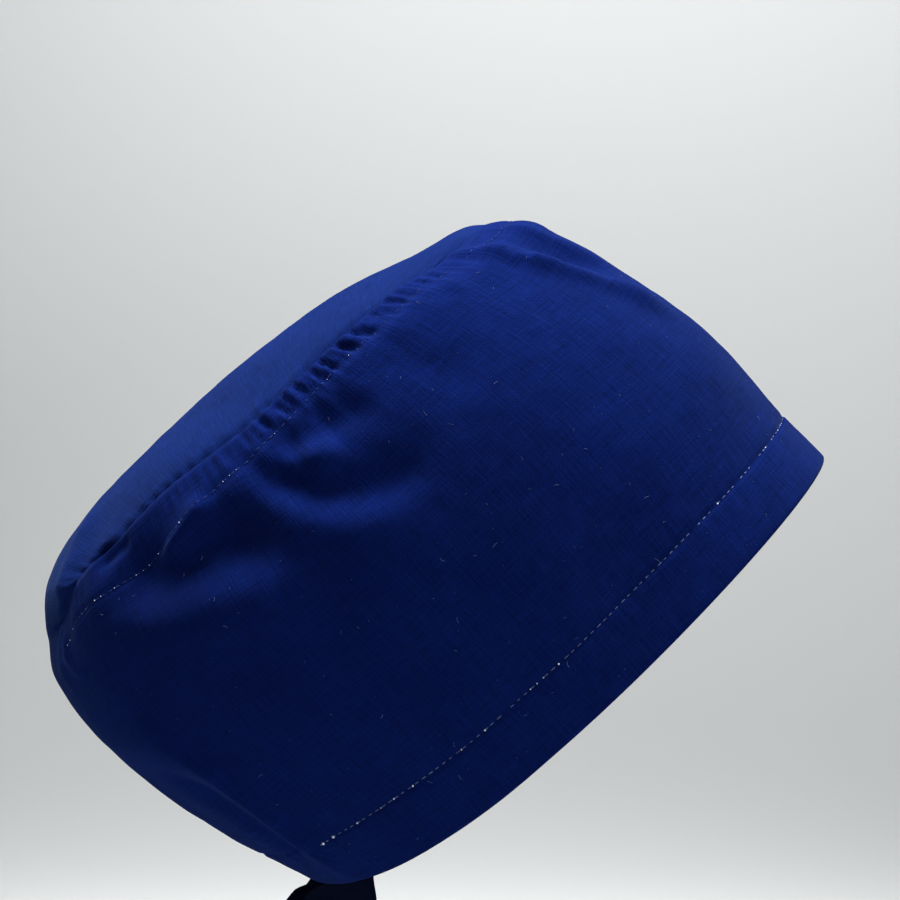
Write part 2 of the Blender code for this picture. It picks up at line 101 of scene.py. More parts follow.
# How deep the crown lies under the band's outer face, how much deeper along its side edges, and
# the roll of the band's folded edges.
CROWN_SINK = 0.0011
DITCH_SINK = 0.0018
DITCH_REACH = 0.10
DITCH_START = (0.10, 0.30)
DITCH_END = (0.80, 0.90)
ROLL_RADIUS = 0.0007
ROLL_STEPS = 5
ALLOWANCE = 0.0085

# The crown's length and half width, against which "way" and "side" are shares.
CROWN_LENGTH = 0.250
CROWN_HALF_WIDTH = 0.067

# Folds of the band. Each row: fold, from around, from height, to around, to height, bow, width,
# depth. around is a share of the half turn from the front and height a share of the way from hem
# to seam. bow, width and depth are in mm: how far the middle bends aside, how wide the fold is,
# and how high, below 0 for a hollow. Wide folds come first, then the creases that lie over them.
MM = 0.001
RIGHT_FOLDS = (
    ("hollow below the gathers", 0.510, 0.905, 0.385, 0.865, 0.0, 7.0, -2.6),
    ("upper ridge", 0.530, 0.950, 0.440, 0.830, 4.5, 6.0, 2.0),
    ("middle hollow", 0.535, 0.925, 0.385, 0.670, 8.5, 8.0, -3.8),
    ("middle ridge", 0.580, 0.935, 0.430, 0.620, 9.5, 9.0, 2.1),
    ("rear hollow", 0.765, 0.925, 0.555, 0.780, 0.0, 11.0, -4.8),
    ("short pleat", 0.700, 0.885, 0.600, 0.915, 0.0, 5.0, 2.4),
    ("lower rear ridge", 0.785, 0.900, 0.570, 0.670, 7.0, 11.0, 2.4),
    ("turn to the nape", 0.850, 0.650, 0.815, 0.060, -13.0, 10.0, 3.0),
    ("flat beside the nape", 0.900, 0.620, 0.890, 0.100, 0.0, 12.0, -1.2),
    ("front crease", 0.150, 0.980, 0.065, 0.500, 0.0, 5.0, 1.8),
    ("front hollow", 0.112, 0.960, 0.092, 0.640, 0.0, 6.0, -1.4),
    ("middle crease", 0.070, 0.990, 0.085, 0.600, 0.0, 5.0, 1.4),
    ("temple dimple", 0.330, 0.920, 0.285, 0.720, 0.0, 11.0, -1.4),
    ("edge of the short pleat", 0.690, 0.890, 0.610, 0.925, 0.0, 2.2, 1.1),
    ("tuck under the seam", 0.775, 0.985, 0.725, 0.985, 0.0, 2.2, -1.6),
    ("loop beside the corner", 0.865, 0.960, 0.840, 0.840, 3.0, 2.4, 1.2),
    ("crease to the hem", 0.700, 0.500, 0.640, 0.200, 2.0, 6.0, 0.6),
    ("first front ridge", 0.150, 0.990, 0.080, 0.560, 2.0, 2.6, 1.5),
    ("valley between", 0.122, 0.940, 0.092, 0.740, 1.0, 3.0, -1.2),
    ("second front ridge", 0.084, 0.975, 0.060, 0.680, 3.0, 2.6, 1.4),
    ("tip", 0.052, 1.000, 0.062, 0.860, 0.0, 3.5, 1.1),
    ("dent at the front", 0.140, 0.912, 0.130, 0.858, 0.0, 1.6, -1.4),
    ("nape edge", 0.815, 0.600, 0.808, 0.060, -7.5, 3.0, 1.6),
    ("hollow behind it", 0.843, 0.500, 0.838, 0.100, -7.5, 5.5, -2.4),
    ("first flute", 0.420, 0.940, 0.440, 0.800, 1.0, 3.5, -0.7),
    ("second flute", 0.470, 0.935, 0.490, 0.820, 1.0, 3.5, -0.8),
)
LEFT_FOLDS = (
    ("hollow below the gathers", 0.360, 0.880, 0.500, 0.890, 0.0, 9.0, -2.6),
    ("middle ridge", 0.560, 0.920, 0.420, 0.650, -6.0, 8.0, 2.8),
    ("rear hollow", 0.750, 0.900, 0.600, 0.740, 0.0, 12.0, -4.0),
    ("lower rear ridge", 0.800, 0.840, 0.620, 0.600, 5.0, 9.0, 3.0),
    ("turn to the nape", 0.840, 0.640, 0.820, 0.060, -10.0, 10.0, 3.0),
    ("flat beside the nape", 0.900, 0.600, 0.890, 0.100, 0.0, 12.0, -1.2),
    ("front crease", 0.130, 0.980, 0.080, 0.600, 0.0, 6.0, 1.4),
    ("short pleat", 0.680, 0.900, 0.590, 0.925, 0.0, 3.0, 1.2),
    ("crease to the hem", 0.720, 0.480, 0.650, 0.180, 2.0, 6.0, 0.6),
    ("first flute", 0.400, 0.940, 0.430, 0.800, 1.0, 3.5, -0.7),
    ("second flute", 0.500, 0.935, 0.480, 0.820, 1.0, 3.5, -0.8),
)

# Folds of the crown, with way and side in place of around and height.
CROWN_FOLDS = (
    ("rear crease", 0.930, -0.950, 0.760, -0.450, 0.0, 6.0, 2.2),
    ("pocket beside it", 0.828, -0.995, 0.785, -0.955, 0.0, 3.0, -4.2),
    ("edge at the corner", 0.875, -0.970, 0.990, -0.960, 0.0, 12.0, 1.7),
    ("edge at the far corner", 0.885, 0.970, 0.990, 0.960, 0.0, 12.0, 1.5),
    ("rear dip", 0.980, -0.500, 0.990, 0.450, 0.0, 10.0, -2.0),
    ("front rise", 0.030, -1.100, 0.030, 1.100, 0.0, 12.0, 1.3),
    ("far crease", 0.900, 0.900, 0.720, 0.300, 0.0, 8.0, 1.8),
)

# Soft uneven waves all over the cloth: seed, depth, size.
BAND_RUMPLES = ((3, 0.00035, 0.045), (8, 0.00008, 0.012))
CROWN_RUMPLES = ((21, 0.00035, 0.050), (25, 0.00008, 0.013))
RUMPLE_WAVES = 9

# Grooves that the stitches draw into the band, their depths and widths: at the hem, round the hem
# and below the seam, and how far the hem's second layer stands out.
HEM_GROOVE = (0.00035, 0.0010)
HEM_PULL = (0.00022, 0.0032)
SEAM_GROOVE = (0.00028, 0.0013)
HEM_STEP = 0.00025

# Outline of the side at each height. front, width and back are shares of FRONT_REACH,
# HALF_WIDTH and BACK_REACH.
SIDE_SECTIONS = (
    # height, front, width, back
    (0.00, 0.992, 0.920, 0.830), (0.10, 0.988, 0.936, 0.868), (0.20, 0.991, 0.956, 0.912),
    (0.35, 0.998, 0.989, 0.958), (0.55, 0.977, 0.998, 0.996), (0.72, 0.936, 0.970, 1.010),
    (0.85, 0.893, 0.911, 0.998), (0.93, 0.859, 0.853, 0.980), (1.00, 0.777, 0.770, 0.935),
)
HEM_LIFTS = (
    # around, lift as a share of NAPE_LIFT
    (0.00, 0.10), (0.50, 0.11), (0.60, 0.17), (0.68, 0.28), (0.75, 0.42), (0.80, 0.56),
    (0.86, 0.76), (0.93, 0.95), (1.00, 1.00),
)
SEAM_LIFTS = (
    # around, lift as a share of SEAM_HEIGHT
    (0.00, -0.012), (0.16, -0.022), (0.25, 0.002), (0.50, 0.000), (0.68, 0.025), (0.76, 0.023),
    (0.82, 0.017), (0.87, -0.020), (1.00, -0.007),
)
RIDGE_LINE = (
    # reach back from the front seam, rise as a share of CROWN_RISE
    (0.000, 0.00), (0.028, 0.15), (0.146, 0.50), (0.249, 0.73), (0.342, 0.87), (0.423, 0.94),
    (0.500, 0.97), (0.580, 0.99), (0.650, 1.00), (0.723, 0.99), (0.788, 0.93), (0.847, 0.83),
    (0.905, 0.68), (0.953, 0.47), (0.988, 0.21), (1.000, 0.00),
)
TONGUE_WIDTHS = (
    # height, width as a share of TONGUE_HALF_WIDTH
    (0.00, 0.50), (0.12, 0.60), (0.30, 0.70), (0.50, 0.80), (0.72, 0.96), (0.90, 0.92),
    (1.00, 1.00),
)

# Gathers: how deep the puckers are round the seam, and how they swell and fade below it.
GATHER_DEPTH = 0.0007
GATHER_PITCH = 0.0068
GATHER_STRENGTHS = (
    # around, share of GATHER_DEPTH
    (0.00, 0.10), (0.13, 0.15), (0.19, 0.45), (0.25, 0.85), (0.33, 1.00), (0.45, 1.00),
    (0.54, 0.75), (0.62, 0.40), (0.72, 0.30), (0.82, 0.20), (0.90, 0.00), (1.00, 0.00),
)
GATHER_PROFILE = (
    # metres below the seam, share
    (0.0000, 0.40), (0.0015, 0.80), (0.0040, 1.00), (0.0065, 0.55), (0.0080, 0.30),
    (0.0100, 0.45), (0.0150, 0.25), (0.0250, 0.05), (0.0350, 0.00),
)
RIGHT_PUCKERS = (
    # around, slant across, width and depth in mm
    (0.175, 1.0, 1.2, 0.5), (0.225, 1.0, 1.2, 0.5),
    (0.255, 1.4, 1.5, 1.1), (0.278, 1.4, 1.4, 1.0),
    (0.290, 1.0, 1.0, 0.8), (0.312, 1.6, 1.7, 1.7),
    (0.338, 1.6, 1.7, 1.8), (0.372, 1.4, 1.4, 1.2),
    (0.396, 0.8, 1.0, 0.6), (0.417, 1.4, 1.5, 1.1),
    (0.440, 0.8, 1.0, 0.6), (0.458, 1.6, 1.9, 1.8),
    (0.487, 1.4, 1.8, 1.5), (0.520, 1.0, 1.4, 0.8),
    (0.560, 1.0, 1.4, 0.6), (0.640, 1.0, 1.4, 0.5),
)
LEFT_PUCKERS = (
    # around, slant across, width and depth in mm
    (0.210, 1.0, 1.4, 0.8), (0.250, 1.4, 1.6, 1.4),
    (0.287, 1.2, 1.4, 1.0), (0.325, 1.4, 1.7, 1.6),
    (0.352, 1.0, 1.2, 0.8), (0.385, 1.6, 1.8, 1.7),
    (0.424, 1.4, 1.5, 1.2), (0.470, 1.6, 1.8, 1.6),
    (0.505, 1.0, 1.4, 0.9), (0.560, 1.0, 1.4, 0.6),
)
# Where the puckers begin and end below the seam.
PUCKER_TOP = (-0.001, 0.0015)
PUCKER_FOOT = (0.0045, 0.0085)
TOPSTITCH_DROPS = (
    # around, metres below the seam
    (0.00, 0.0065), (0.185, 0.0050), (0.302, 0.0064), (0.415, 0.0070), (0.57, 0.0092),
    (0.71, 0.0120), (0.79, 0.0100), (0.90, 0.0080), (1.00, 0.0070),
)

# Where the hem's stitches end, how many are hidden, how often a stitch's end shows pale, and where
# thread is knotted at the hem.
HEM_ROW_END = 0.785
SKIPPED = 0.15
HEM_DOTS = (
    # share of the way from front to rear, chance
    (0.00, 0.25), (0.30, 0.20), (0.45, 0.06), (1.00, 0.04),
)
SEAM_DOTS = (
    # share of the way from front to rear, chance
    (0.00, 0.03), (0.40, 0.05), (0.60, 0.35), (1.00, 0.50),
)
RIGHT_HEM_MARKS = (
    # around, radius in mm
    (0.198, 0.22), (0.432, 0.3), (0.455, 0.22), (0.465, 0.22), (0.475, 0.22),
    (0.545, 0.3), (0.580, 0.24), (0.650, 0.3), (0.677, 0.28), (0.730, 0.3),
    (0.766, 0.46), (0.780, 0.46),
)
LEFT_HEM_MARKS = (
    # around, radius in mm
    (0.350, 0.3), (0.520, 0.28), (0.640, 0.28), (0.768, 0.46), (0.782, 0.46),
)

# Ties: their route inside the hem, as in the solids, and the knot and tails.
TIE_LOW = 0.015
TIE_HIGH = 0.125
TIE_START = 0.770
TIE_END = 0.915
TIE_SAG = 0.018
TIE_SAGGED = 0.60
TIE_LEAVES = 0.40
TIE_PINCH = 0.012
TIE_SINK = 0.0034
TIE_INTO_KNOT = 0.00704
KNOT_BACK = 0.010
KNOT_DROP = 0.011
KNOT_LINE = (0.35, 0.0, 0.94)
KNOT_HALF_SIZE = (0.0094, 0.0088, 0.0085)
TAIL_TURN = math.radians(38.0)
TAIL_NECK = 0.36
TAIL_NECK_SHARE = 0.35
TAIL_SPACING = 0.0036
TAIL_START = 0.45
TAIL_HIDDEN = 0.004675
TAIL_SWING = 0.009
TAIL_SWING_SHARE = 0.6
TAIL_SWAY = 0.002
TAIL_SWAY_TURN = 4.0
TAIL_FLAT_SIZE = (0.025, 0.115)
TIE_FLAT_SIZE = (0.018, 0.062)
STRAP_COLUMNS = 14
TIE_ROWS = 60
TAIL_ROWS = 80

# Weave: how far apart the drawn threads are, how high they stand, and how the slubs, the nap and
# the dye are scaled.
THREAD_PITCH = 0.00090
WEAVE_RELIEF = 0.00027
SLUB_SCALES = ((1300.0, 95.0, 1.0), (95.0, 1300.0, 1.0))
FUZZ_SCALE = 1500.0
MOTTLE_SCALE = 30.0

# Thread: its twist and shades, how flat it lies, how much of a stitch shows, and how deep it and
# the dark balls of painted shade in the needle holes lie.
TWIST_SCALE = 1800.0
THREAD_SHADES = (0.6, 1.35)
THREAD_RELIEF = 0.00005
THREAD_FLATNESS = 0.75
THREAD_RAISED = 0.8
STITCH_SHARE = 0.80
STITCH_VARIES = (0.6, 1.05)
ROW_PLACES = 2400
SEAM_ROW_GAP = 0.03
HEM_THREAD_SUNK = 0.00001
SEAM_THREAD_SUNK = 0.00002
HEM_DOT = 0.00020
SEAM_DOT = 0.00017
DOT_VARIES = (0.7, 1.2)
DOT_RAISED = 0.0001
MARK_RAISED = 0.00015
HOLE_SHADE_RADIUS = 0.00018
HOLE_SHADE_SUNK = 0.00008

# Lint: where it lies, its least length and what is added to it, its thickness and its parts.
LINT_AROUND = (-0.80, 0.80)
LINT_HEIGHTS = (0.03, 0.93)
LINT_LENGTHS = (0.0003, 0.0026)
LINT_RADII = (0.000035, 0.000080)
LINT_RAISED = 0.00006
LINT_STEPS = 5
MEAN_RADIUS = 0.105

# Camera: its distance, its lens, and the place on the cap that the photograph's own frame fixes.
CAMERA_DISTANCE = 0.65
CAMERA_LENS = 76.48
ANCHOR_ON_CAP = (0.1253, 0.0, 0.0)
ANCHOR_IN_VIEW = (0.1251, 0.0, -0.0051)

# Floor: how far it reaches, how far below the cap it lies, and where and how round it rises.
FLOOR_REACH = 14.0
FLOOR_GAP = 0.004
SWEEP_START = 0.6
SWEEP_RADIUS = 1.6

LIGHTS = (
    # light, place, size, power, target, spread in degrees
    ("key", (0.02, 0.06, 1.00), 0.50, 6.2, (0.02, 0.0, -0.08), 60),
    ("front", (0.85, -0.60, 0.45), 0.50, 2.8, (0.02, 0.0, -0.08), 110),
    ("rear", (-0.75, 0.25, 0.95), 0.50, 6.0, (0.02, 0.0, -0.08), 110),
    ("backdrop", (0.25, 1.00, 1.70), 1.80, 26.0, (0.15, 2.2, 0.35), 120),
)
WORLD_COLOUR = (0.82, 0.86, 0.88, 1.0)
WORLD_STRENGTH = 0.30


def a_length(name, description, default):
    """A length that the user can change."""
    return FloatProperty(name=name, description=description, default=default, unit="LENGTH")


def a_colour(name, description, default):
    """A colour that the user can change."""
    return FloatVectorProperty(
        name=name, description=description, default=default, subtype="COLOR"
    )


class CapSizes(bpy.types.PropertyGroup):
    """Sizes of the cap's cloth and sewing."""

    ply: a_length("Cloth", "Thickness of one layer", 0.00045)
    hem_depth: a_length("Hem depth", "Depth of the turned-up hem", 0.020)
    stitch_length: a_length("Stitch", "Length of a stitch", 0.0027)
    thread_radius: a_length("Thread", "Radius of the thread", 0.00013)
    tie_width: a_length("Tie width", "Width of the ties", 0.025)
    tail_length: a_length("Tail length", "Length below the knot", 0.110)
    lint_count: IntProperty(name="Lint", description="Number of lint fibres", default=420)


class CapColours(bpy.types.PropertyGroup):
    """Colours of the cap's cloth and thread; the ties' and the needle holes' colours are painted shade.
    """

    band: a_colour("Band", "Cloth of the band", (0.0020, 0.0068, 0.059))
    crown: a_colour("Crown", "Cloth of the crown", (0.0026, 0.0086, 0.060))
    # Painted shade: the ties are the same navy poplin as the band, but this colour is darkened far
    # below it to stand for the deep shadow under the cap where the ties, knot and tails hang.
    tie: a_colour("Ties", "Cloth of the ties", (0.0004, 0.0009, 0.008))
    sheen: a_colour("Sheen", "Nap of the cloth", (0.40, 0.60, 0.85))
    hem_thread: a_colour("Hem thread", "Grey thread", (0.11, 0.14, 0.26))
    seam_thread: a_colour("Seam thread", "Navy thread", (0.012, 0.024, 0.120))
    thread_ends: a_colour("Thread ends", "Pale ends and knots", (0.55, 0.58, 0.66))
    # Painted shade: this near-black colour stands for the shadow inside the needle holes.
    needle_hole_shade: a_colour("Needle holes", "Shade in them", (0.0003, 0.0008, 0.006))
    lint: a_colour("Lint", "Pale lint fibres", (0.10, 0.13, 0.24))
    floor: a_colour("Floor", "Pale floor", (0.46, 0.47, 0.47))


def column(table, index):
    """One named column of a table, as numbers."""
    return np.array([row[index] for row in table])


def smooth_through(knots, values, where):
    """A smooth curve through a table's rows, read at where. Its slopes follow the rows beside."""
    knots, values, where = np.asarray(knots), np.asarray(values), np.asarray(where)
    slopes = np.gradient(values, knots)
    flat = np.concatenate([[False], np.diff(values[:-1]) * np.diff(values[1:]) <= 0, [False]])
    slopes = np.where(flat, 0.0, slopes)
    i = np.clip(np.searchsorted(knots, where) - 1, 0, len(knots) - 2)
    span = knots[i + 1] - knots[i]
    t = np.clip((where - knots[i]) / span, 0.0, 1.0)
    rise = values[i + 1] - values[i]
    bow = slopes[i] * span * t * (1 - t) ** 2 - slopes[i + 1] * span * t * t * (1 - t)
    return values[i] + rise * t * t * (3 - 2 * t) + bow


def from_table(table, where, index=1):
    """A table's column read smoothly at where, its first column."""
    return smooth_through(column(table, 0), column(table, index), where)


def faded(edge_low, edge_high, where):
    """0 up to edge_low and 1 from edge_high, smooth between."""
    t = np.clip((where - edge_low) / (edge_high - edge_low), 0.0, 1.0)
    return t * t * (3 - 2 * t)


def wall_height(around, height):
    """How high above the hem's plane the wall is, around being a share of the half turn."""
    hem = NAPE_LIFT * from_table(HEM_LIFTS, around)
    seam = SEAM_HEIGHT * (1 + from_table(SEAM_LIFTS, around))
    return hem + (seam - hem) * height


def half_widths(height):
    """(front reach, half width, back reach) of the outline at a height."""
    return (
        FRONT_REACH * from_table(SIDE_SECTIONS, height, 1),
        HALF_WIDTH * from_table(SIDE_SECTIONS, height, 2),
        BACK_REACH * from_table(SIDE_SECTIONS, height, 3),
    )


def wall_point(angle, height):
    """A point of the smooth side wall: angle from the front, positive to the wearer's left."""
    angle, height = np.broadcast_arrays(angle, height)
    front, width, back = half_widths(height)
    ahead = np.cos(angle) >= 0
    reach = np.where(ahead, front, back)
    power = np.where(ahead, PLAN_POWER_FRONT, PLAN_POWER_BACK)
    across = np.abs(np.sin(angle) / width) ** power
    radius = (np.abs(np.cos(angle) / reach) ** power + across) ** (-1 / power)
    x, y = radius * np.cos(angle), radius * np.sin(angle)
    return np.stack([x, y, wall_height(np.abs(angle) / math.pi, height)], axis=-1)


def back_angle(sideways, height):
    """The angle at which the back wall stands that far from the middle."""
    _, width, back = half_widths(height)
    depth = back * (1 - np.abs(sideways / width) ** PLAN_POWER_BACK) ** (1 / PLAN_POWER_BACK)
    return np.arctan2(np.abs(sideways), -depth)


def seam_angle(height):
    """The angle of the back seam, where the band's end is sewn to the tongue."""
    return back_angle(TONGUE_HALF_WIDTH * from_table(TONGUE_WIDTHS, height), height)


def even_angles(start, end, steps):
    """Angles along the crown seam that cut it into equal lengths."""
    fine = np.linspace(start, end, 3000)
    line = wall_point(fine, 1.0)
    way = np.concatenate([[0], np.cumsum(np.linalg.norm(np.diff(line, axis=0), axis=1))])
    return np.interp(np.linspace(0, way[-1], steps + 1), way, fine)


def seam_columns():
    """The angles of the band's columns at the seam, from its right end to its left end."""
    corner, arc = float(seam_angle(1.0)), FRONT_ARC_SHARE * math.pi
    side = even_angles(arc, corner, SIDE_COLUMNS)
    front = even_angles(-arc, arc, FRONT_COLUMNS)
    return np.concatenate([-side[::-1], front[1:-1], side])


def unit(vectors):
    """Vectors brought to length 1."""
    return vectors / np.maximum(np.linalg.norm(vectors, axis=-1, keepdims=True), 1e-12)


def wall_normal(angle, height):
    """Unit normals of the smooth side wall, pointing out."""
    step = 0.004
    high, low = np.clip(height + step, 0, 1), np.clip(height - step, 0, 1)
    sideways = wall_point(angle + step, height) - wall_point(angle - step, height)
    upward = wall_point(angle, high) - wall_point(angle, low)
    return unit(np.cross(sideways, upward))


def normals_of(grid):
    """Unit normals of a grid of points, pointing out of the cap."""
    return unit(np.cross(np.gradient(grid, axis=1), np.gradient(grid, axis=0)))


def raised(grid, amount):
    """A grid of points moved out along its own normals."""
    return grid + normals_of(grid) * np.broadcast_to(amount, grid.shape[:2])[..., None]


def fold_lift(folds, around, height, size=(HALF_GIRTH, SEAM_HEIGHT)):
    """How far out the folds push the cloth. Each is a soft ridge, or a hollow where its depth is
    below 0, along a bowed line between two places on the flat cloth."""
    lift = np.zeros(np.broadcast(around, height).shape)
    place = np.stack(np.broadcast_arrays(around * size[0], height * size[1]), axis=-1)
    for _, from_around, from_height, to_around, to_height, *sizes in folds:
        bow, width, depth = np.array(sizes) * MM
        start = np.array([from_around, from_height]) * size
        way = np.array([to_around, to_height]) * size - start
        length = np.hypot(*way)
        along = (place - start) @ way / length**2
        side = (place - start) @ np.array([-way[1], way[0]]) / length - bow * 4 * along * (1 - along)
        ends = faded(*FOLD_END, along) * faded(*FOLD_END, 1 - along)
        lift = lift + depth * np.exp(-((side / width) ** 2)) * ends
    return lift


def rumple(x, y, rumples):
    """Soft uneven waves over the cloth, the same each run."""
    total = np.zeros(np.broadcast(x, y).shape)
    for seed, depth, size in rumples:
        draws = np.random.default_rng(seed)
        for _ in range(RUMPLE_WAVES):
            turn, phase = draws.uniform(0, math.pi), draws.uniform(0, math.tau)
            pitch = size * draws.uniform(0.7, 1.6)
            along = x * math.cos(turn) + y * math.sin(turn)
            total = total + depth * np.sin(along * math.tau / pitch + phase)
    return total / math.sqrt(RUMPLE_WAVES)


def gather_lift(angle, height):
    """The puckers where the band is drawn up to the crown, and their flutes below the stitches."""
    around = np.abs(angle) / math.pi
    side = np.where(angle < 0, 0.0, 1.3)
    along = around * HALF_GIRTH
    below = np.clip((1 - height) * SEAM_HEIGHT, 0, None)
    turn = math.tau * along / GATHER_PITCH + 1.5 * np.sin(along * 190 + side) + side
    turn = turn + 0.9 * np.sin(along * 613 + 2 * side) + 60 * below
    pucker = np.sin(turn) + 0.42 * np.sin(2 * turn + 0.9) + 0.15 * np.sin(3 * turn)
    flute = np.sin(0.5 * turn + 0.6) + 0.5 * np.sin(0.31 * turn)
    low = faded(0.006, 0.013, below)
    uneven = 0.75 + 0.35 * np.sin(along * 96 + 1.1 + side)
    wave = (pucker * (1 - low) + 0.9 * flute * low) * uneven
    return GATHER_DEPTH * wave * from_table(GATHER_STRENGTHS, around) * from_table(
        GATHER_PROFILE, below
    )


def pucker_lift(puckers, around, height):
    """Single deep puckers between the seam and its stitches."""
    lift = np.zeros(np.broadcast(around, height).shape)
    below = (1 - height) * SEAM_HEIGHT
    ends = faded(*PUCKER_TOP, below) * (1 - faded(*PUCKER_FOOT, below))
    for place, *sizes in puckers:
        slant, width, depth = np.array(sizes) * MM
        across = (around - place) * HALF_GIRTH + slant * (below / 0.004 - 1)
        hollow = groove(across, depth, width) - groove(across - 1.9 * width, 0.35 * depth, width)
        lift = lift - hollow * ends
    return lift


def groove(distance, depth, width):
    """A soft narrow groove."""
    return depth * np.exp(-((distance / width) ** 2))


def band_lift(angle, height):
    """How far the band's cloth stands out of the smooth wall."""
    angle, height = np.broadcast_arrays(angle, height)
    around = np.abs(angle) / math.pi
    right = fold_lift(RIGHT_FOLDS, around, height)
    right = right + pucker_lift(RIGHT_PUCKERS, around, height)
    left = fold_lift(LEFT_FOLDS, around, height)
    left = left + pucker_lift(LEFT_PUCKERS, around, height)
    lift = np.where(angle < 0, right, left) + gather_lift(angle, height)
    x, y = angle / math.pi * HALF_GIRTH, height * SEAM_HEIGHT
    below = (1 - height) * SEAM_HEIGHT
    free = faded(0.0, 0.01, below) * faded(0.0, 0.012, y)
    lift = lift + rumple(x, y, BAND_RUMPLES) * free
    hem_line = bpy.context.scene.cap_sizes.hem_depth
    pull = 0.7 + 0.5 * np.sin(x * math.tau / 0.0061 + 1.5 * np.sin(x * 130))
    lift = lift - groove(y - hem_line, *HEM_GROOVE) - pull * groove(y - hem_line, *HEM_PULL)
    lift = lift + HEM_STEP * (1 - faded(hem_line - 0.001, hem_line, y))
    return lift - groove(below - from_table(TOPSTITCH_DROPS, around), *SEAM_GROOVE)


def band_point(angle, height, depth=0.0):
    """A point of the band, at a depth below its outer face."""
    angle, height = np.broadcast_arrays(angle, height)
    lift = band_lift(angle, height)
    return wall_point(angle, height) + wall_normal(angle, height) * (lift - depth)[..., None]


def placed(points):
    """Points of the cap's own frame, tilted as it is worn and moved so that the seat is 0."""
    moved = np.asarray(points) - np.array(SEAT)
    cosine, sine = math.cos(WORN_TILT), math.sin(WORN_TILT)
    x = moved[..., 0] * cosine - moved[..., 2] * sine
    z = moved[..., 0] * sine + moved[..., 2] * cosine
    return np.stack([x, moved[..., 1], z], axis=-1)


def band_rows():
    """Heights and depths of the band's rows: up inside the hem, round its folded edge, up the
    wall, over the folded edge at the seam and down its allowance."""
    sizes = bpy.context.scene.cap_sizes
    roll = np.linspace(0, math.pi, ROLL_STEPS + 2)[1:-1]
    inner = np.linspace(sizes.hem_depth + 0.001, 2 * ROLL_RADIUS, 7)
    hem_heights = [*inner, *(ROLL_RADIUS * (1 - np.sin(roll)))]
    hem_depths = [*([2 * ROLL_RADIUS] * 7), *(ROLL_RADIUS * (1 + np.cos(roll)))]
    hem = np.arange(sizes.hem_depth - HEM_REACH, sizes.hem_depth + HEM_REACH, HEM_ROW)
    foot = np.linspace(2 * ROLL_RADIUS, hem[0] - WIDE_ROW, 6)
    middle = np.arange(hem[-1] + WIDE_ROW, SEAM_HEIGHT - FINE_REACH, WIDE_ROW)
    high = np.arange(SEAM_HEIGHT - FINE_REACH + FINE_ROW, SEAM_HEIGHT - 2 * ROLL_RADIUS, FINE_ROW)
    wall = [*foot, *hem, *middle, *high]
    top = SEAM_HEIGHT - ROLL_RADIUS * (1 - np.sin(roll))
    allowance = np.linspace(SEAM_HEIGHT - 2 * ROLL_RADIUS, SEAM_HEIGHT - ALLOWANCE, 5)
    heights = np.array([*hem_heights, *wall, *top, *allowance]) / SEAM_HEIGHT
    top_depths = ROLL_RADIUS * (1 - np.cos(roll))
    depths = np.array([*hem_depths, *([0.0] * len(wall)), *top_depths, *([2 * ROLL_RADIUS] * 5)])
    return heights, depths


def band_grid():
    """The band's outer face, with its folded edges at hem, seam and back ends."""
    heights, depths = band_rows()
    columns = seam_columns() / float(seam_angle(1.0))
    angles = columns[None, :] * seam_angle(heights)[:, None]
    roll = np.linspace(math.pi, 0, ROLL_STEPS + 2)[1:-1]
    past = [ALLOWANCE * 0.6, 2 * ROLL_RADIUS, *(ROLL_RADIUS * (1 - np.sin(roll)))]
    past_depths = [2 * ROLL_RADIUS, 2 * ROLL_RADIUS, *(ROLL_RADIUS * (1 - np.cos(roll)))]
    past, past_depths = np.array(past) / BACK_REACH, np.array(past_depths)
    right_end = angles[:, :1] + past[None, :]
    left_end = angles[:, -1:] - past[None, ::-1]
    angles = np.concatenate([right_end, angles[:, 2:-2], left_end], axis=1)
    sides = np.concatenate([past_depths, np.zeros(len(columns) - 4), past_depths[::-1]])
    row_depth, side_depth = np.broadcast_arrays(depths[:, None], sides[None, :])
    depth = np.maximum(row_depth, side_depth) + 0.2 * np.minimum(row_depth, side_depth)
    heights = np.broadcast_to(heights[:, None], angles.shape)
    flat = np.stack([angles / math.pi * HALF_GIRTH, heights * SEAM_HEIGHT], axis=-1)
    return band_point(angles, heights, depth), flat


def ridge_line(way):
    """The crown's middle line in x and z, read at shares of its length."""
    reach, rise = column(RIDGE_LINE, 0), column(RIDGE_LINE, 1)
    front, back = wall_point(0.0, 1.0), wall_point(math.pi, 1.0)
    x = front[0] + (back[0] - front[0]) * reach
    z = front[2] + (back[2] - front[2]) * reach + CROWN_RISE * rise
    steps = np.hypot(np.diff(x), np.diff(z))
    knots = np.concatenate([[0], np.cumsum(steps)]) / steps.sum()
    return smooth_through(knots, x, way), smooth_through(knots, z, way)


